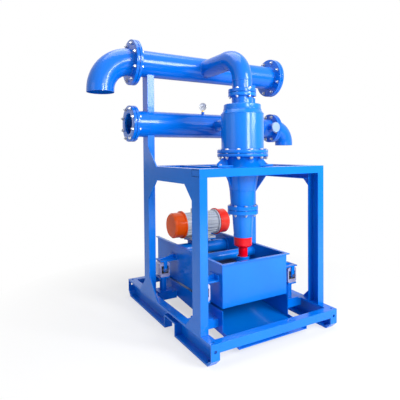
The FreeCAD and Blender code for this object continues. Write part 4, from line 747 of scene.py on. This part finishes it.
# %% End plates
PLATE_WALL, TUBE_WALL = 0.005, 0.0075
beam_low, beam_high = box_of("top_beam_front")
inner_low, inner_high = beam_low + [0.0006, TUBE_WALL, TUBE_WALL], beam_high - [0.0006, TUBE_WALL, TUBE_WALL]
end_plates = [
    slab(inner_low, (inner_low[0] + PLATE_WALL, inner_high[1], inner_high[2])),
    slab((inner_high[0] - PLATE_WALL, inner_low[1], inner_low[2]), inner_high),
]
piece("beam_end_plates", end_plates, frame_paint, "frame")

# %% [markdown]
# ## The studio
# A plain bright studio shows paint well: one large lamp high on the right for the shape, a weak one on
# the left, and a white world. Only what the camera and the reflections see is pure white, so the lamps
# can stay at a level where each colour comes out as it was written.


# %% Camera
camera_data = bpy.data.cameras.new("camera")
camera_data.lens = 34.97
camera_data.shift_y = -0.093
camera_data.clip_end = 100
camera = bpy.data.objects.new("camera", camera_data)
camera.location = (-1.810, -2.804, 1.35)
LOOK_DOWN = math.radians(1.3)
LOOK_RIGHT = math.radians(29.9)
camera.rotation_euler = (math.pi / 2 - LOOK_DOWN, math.radians(0.46), -LOOK_RIGHT)
bpy.context.scene.collection.objects.link(camera)
bpy.context.scene.camera = camera


# %% Lamps, world and floor
def lamp(name, spot, aim, size, power, colour=(1, 1, 1)):
    """A square soft lamp that faces a point."""
    data = bpy.data.lights.new(name, "AREA")
    data.size = size
    data.energy = power
    data.color = colour
    thing = bpy.data.objects.new(name, data)
    thing.location = spot
    away = np.array(spot) - np.array(aim)
    level = math.hypot(away[0], away[1])
    thing.rotation_euler = (math.atan2(level, away[2]), 0, math.atan2(away[0], -away[1]))
    bpy.context.scene.collection.objects.link(thing)
    return thing


MIDDLE = (0, 0, 1.1)
lamp("key_lamp", (2.1, -4.8, 3.4), MIDDLE, 2.0, 290)
lamp("front_lamp", (-0.3, -5.4, 2.4), MIDDLE, 1.2, 130)
lamp("top_lamp", (-0.4, 0.4, 5.2), MIDDLE, 3.2, 110)
lamp("left_lamp", (-4.6, -0.6, 2.2), MIDDLE, 2.0, 16)

world = bpy.data.worlds.new("studio")
world.use_nodes = True
bpy.context.scene.world = world
nodes, links = world.node_tree.nodes, world.node_tree.links
nodes.clear()
path = nodes.new("ShaderNodeLightPath")
seen = nodes.new("ShaderNodeMath")
seen.operation = "ADD"
seen.use_clamp = True
links.new(path.outputs["Is Camera Ray"], seen.inputs[0])
links.new(path.outputs["Is Transmission Ray"], seen.inputs[1])
seen_or_mirrored = nodes.new("ShaderNodeMath")
seen_or_mirrored.operation = "ADD"
seen_or_mirrored.use_clamp = True
links.new(seen.outputs[0], seen_or_mirrored.inputs[0])
links.new(path.outputs["Is Glossy Ray"], seen_or_mirrored.inputs[1])
level = nodes.new("ShaderNodeMapRange")
level.inputs["To Min"].default_value = 0.30
level.inputs["To Max"].default_value = 1.0
links.new(seen_or_mirrored.outputs[0], level.inputs["Value"])
background = nodes.new("ShaderNodeBackground")
background.inputs["Color"].default_value = (1, 1, 1, 1)
links.new(level.outputs["Result"], background.inputs["Strength"])
out = nodes.new("ShaderNodeOutputWorld")
links.new(background.outputs[0], out.inputs["Surface"])

floor_mesh = bpy.data.meshes.new("floor")
reach = 60.0
floor_mesh.from_pydata([(-reach, -reach, 0), (reach, -reach, 0), (reach, reach, 0), (-reach, reach, 0)],
                       [], [(0, 1, 2, 3)])
floor = bpy.data.objects.new("floor", floor_mesh)
bpy.context.scene.collection.objects.link(floor)
floor_recipe = Recipe("white_floor")
seen_ray = floor_recipe.add("ShaderNodeLightPath", out="Is Camera Ray")
lit = floor_recipe.add("ShaderNodeBsdfDiffuse", None, {"Color": (0.9, 0.9, 0.9, 1)})
white = floor_recipe.add("ShaderNodeEmission", None, {"Color": (1, 1, 1, 1), "Strength": 1.0})
away = floor_recipe.add("ShaderNodeVectorMath", {"operation": "LENGTH"}, {0: floor_recipe.place}, out=1)
share = ((away - 1.2) * 0.4).clamp(0.0, 0.4) + 0.6
floor_recipe.add_output(floor_recipe.add("ShaderNodeMixShader", None, {0: seen_ray * share, 1: lit, 2: white}))
floor_mesh.materials.append(floor_recipe.material)
bpy.context.scene.view_settings.view_transform = "Standard"
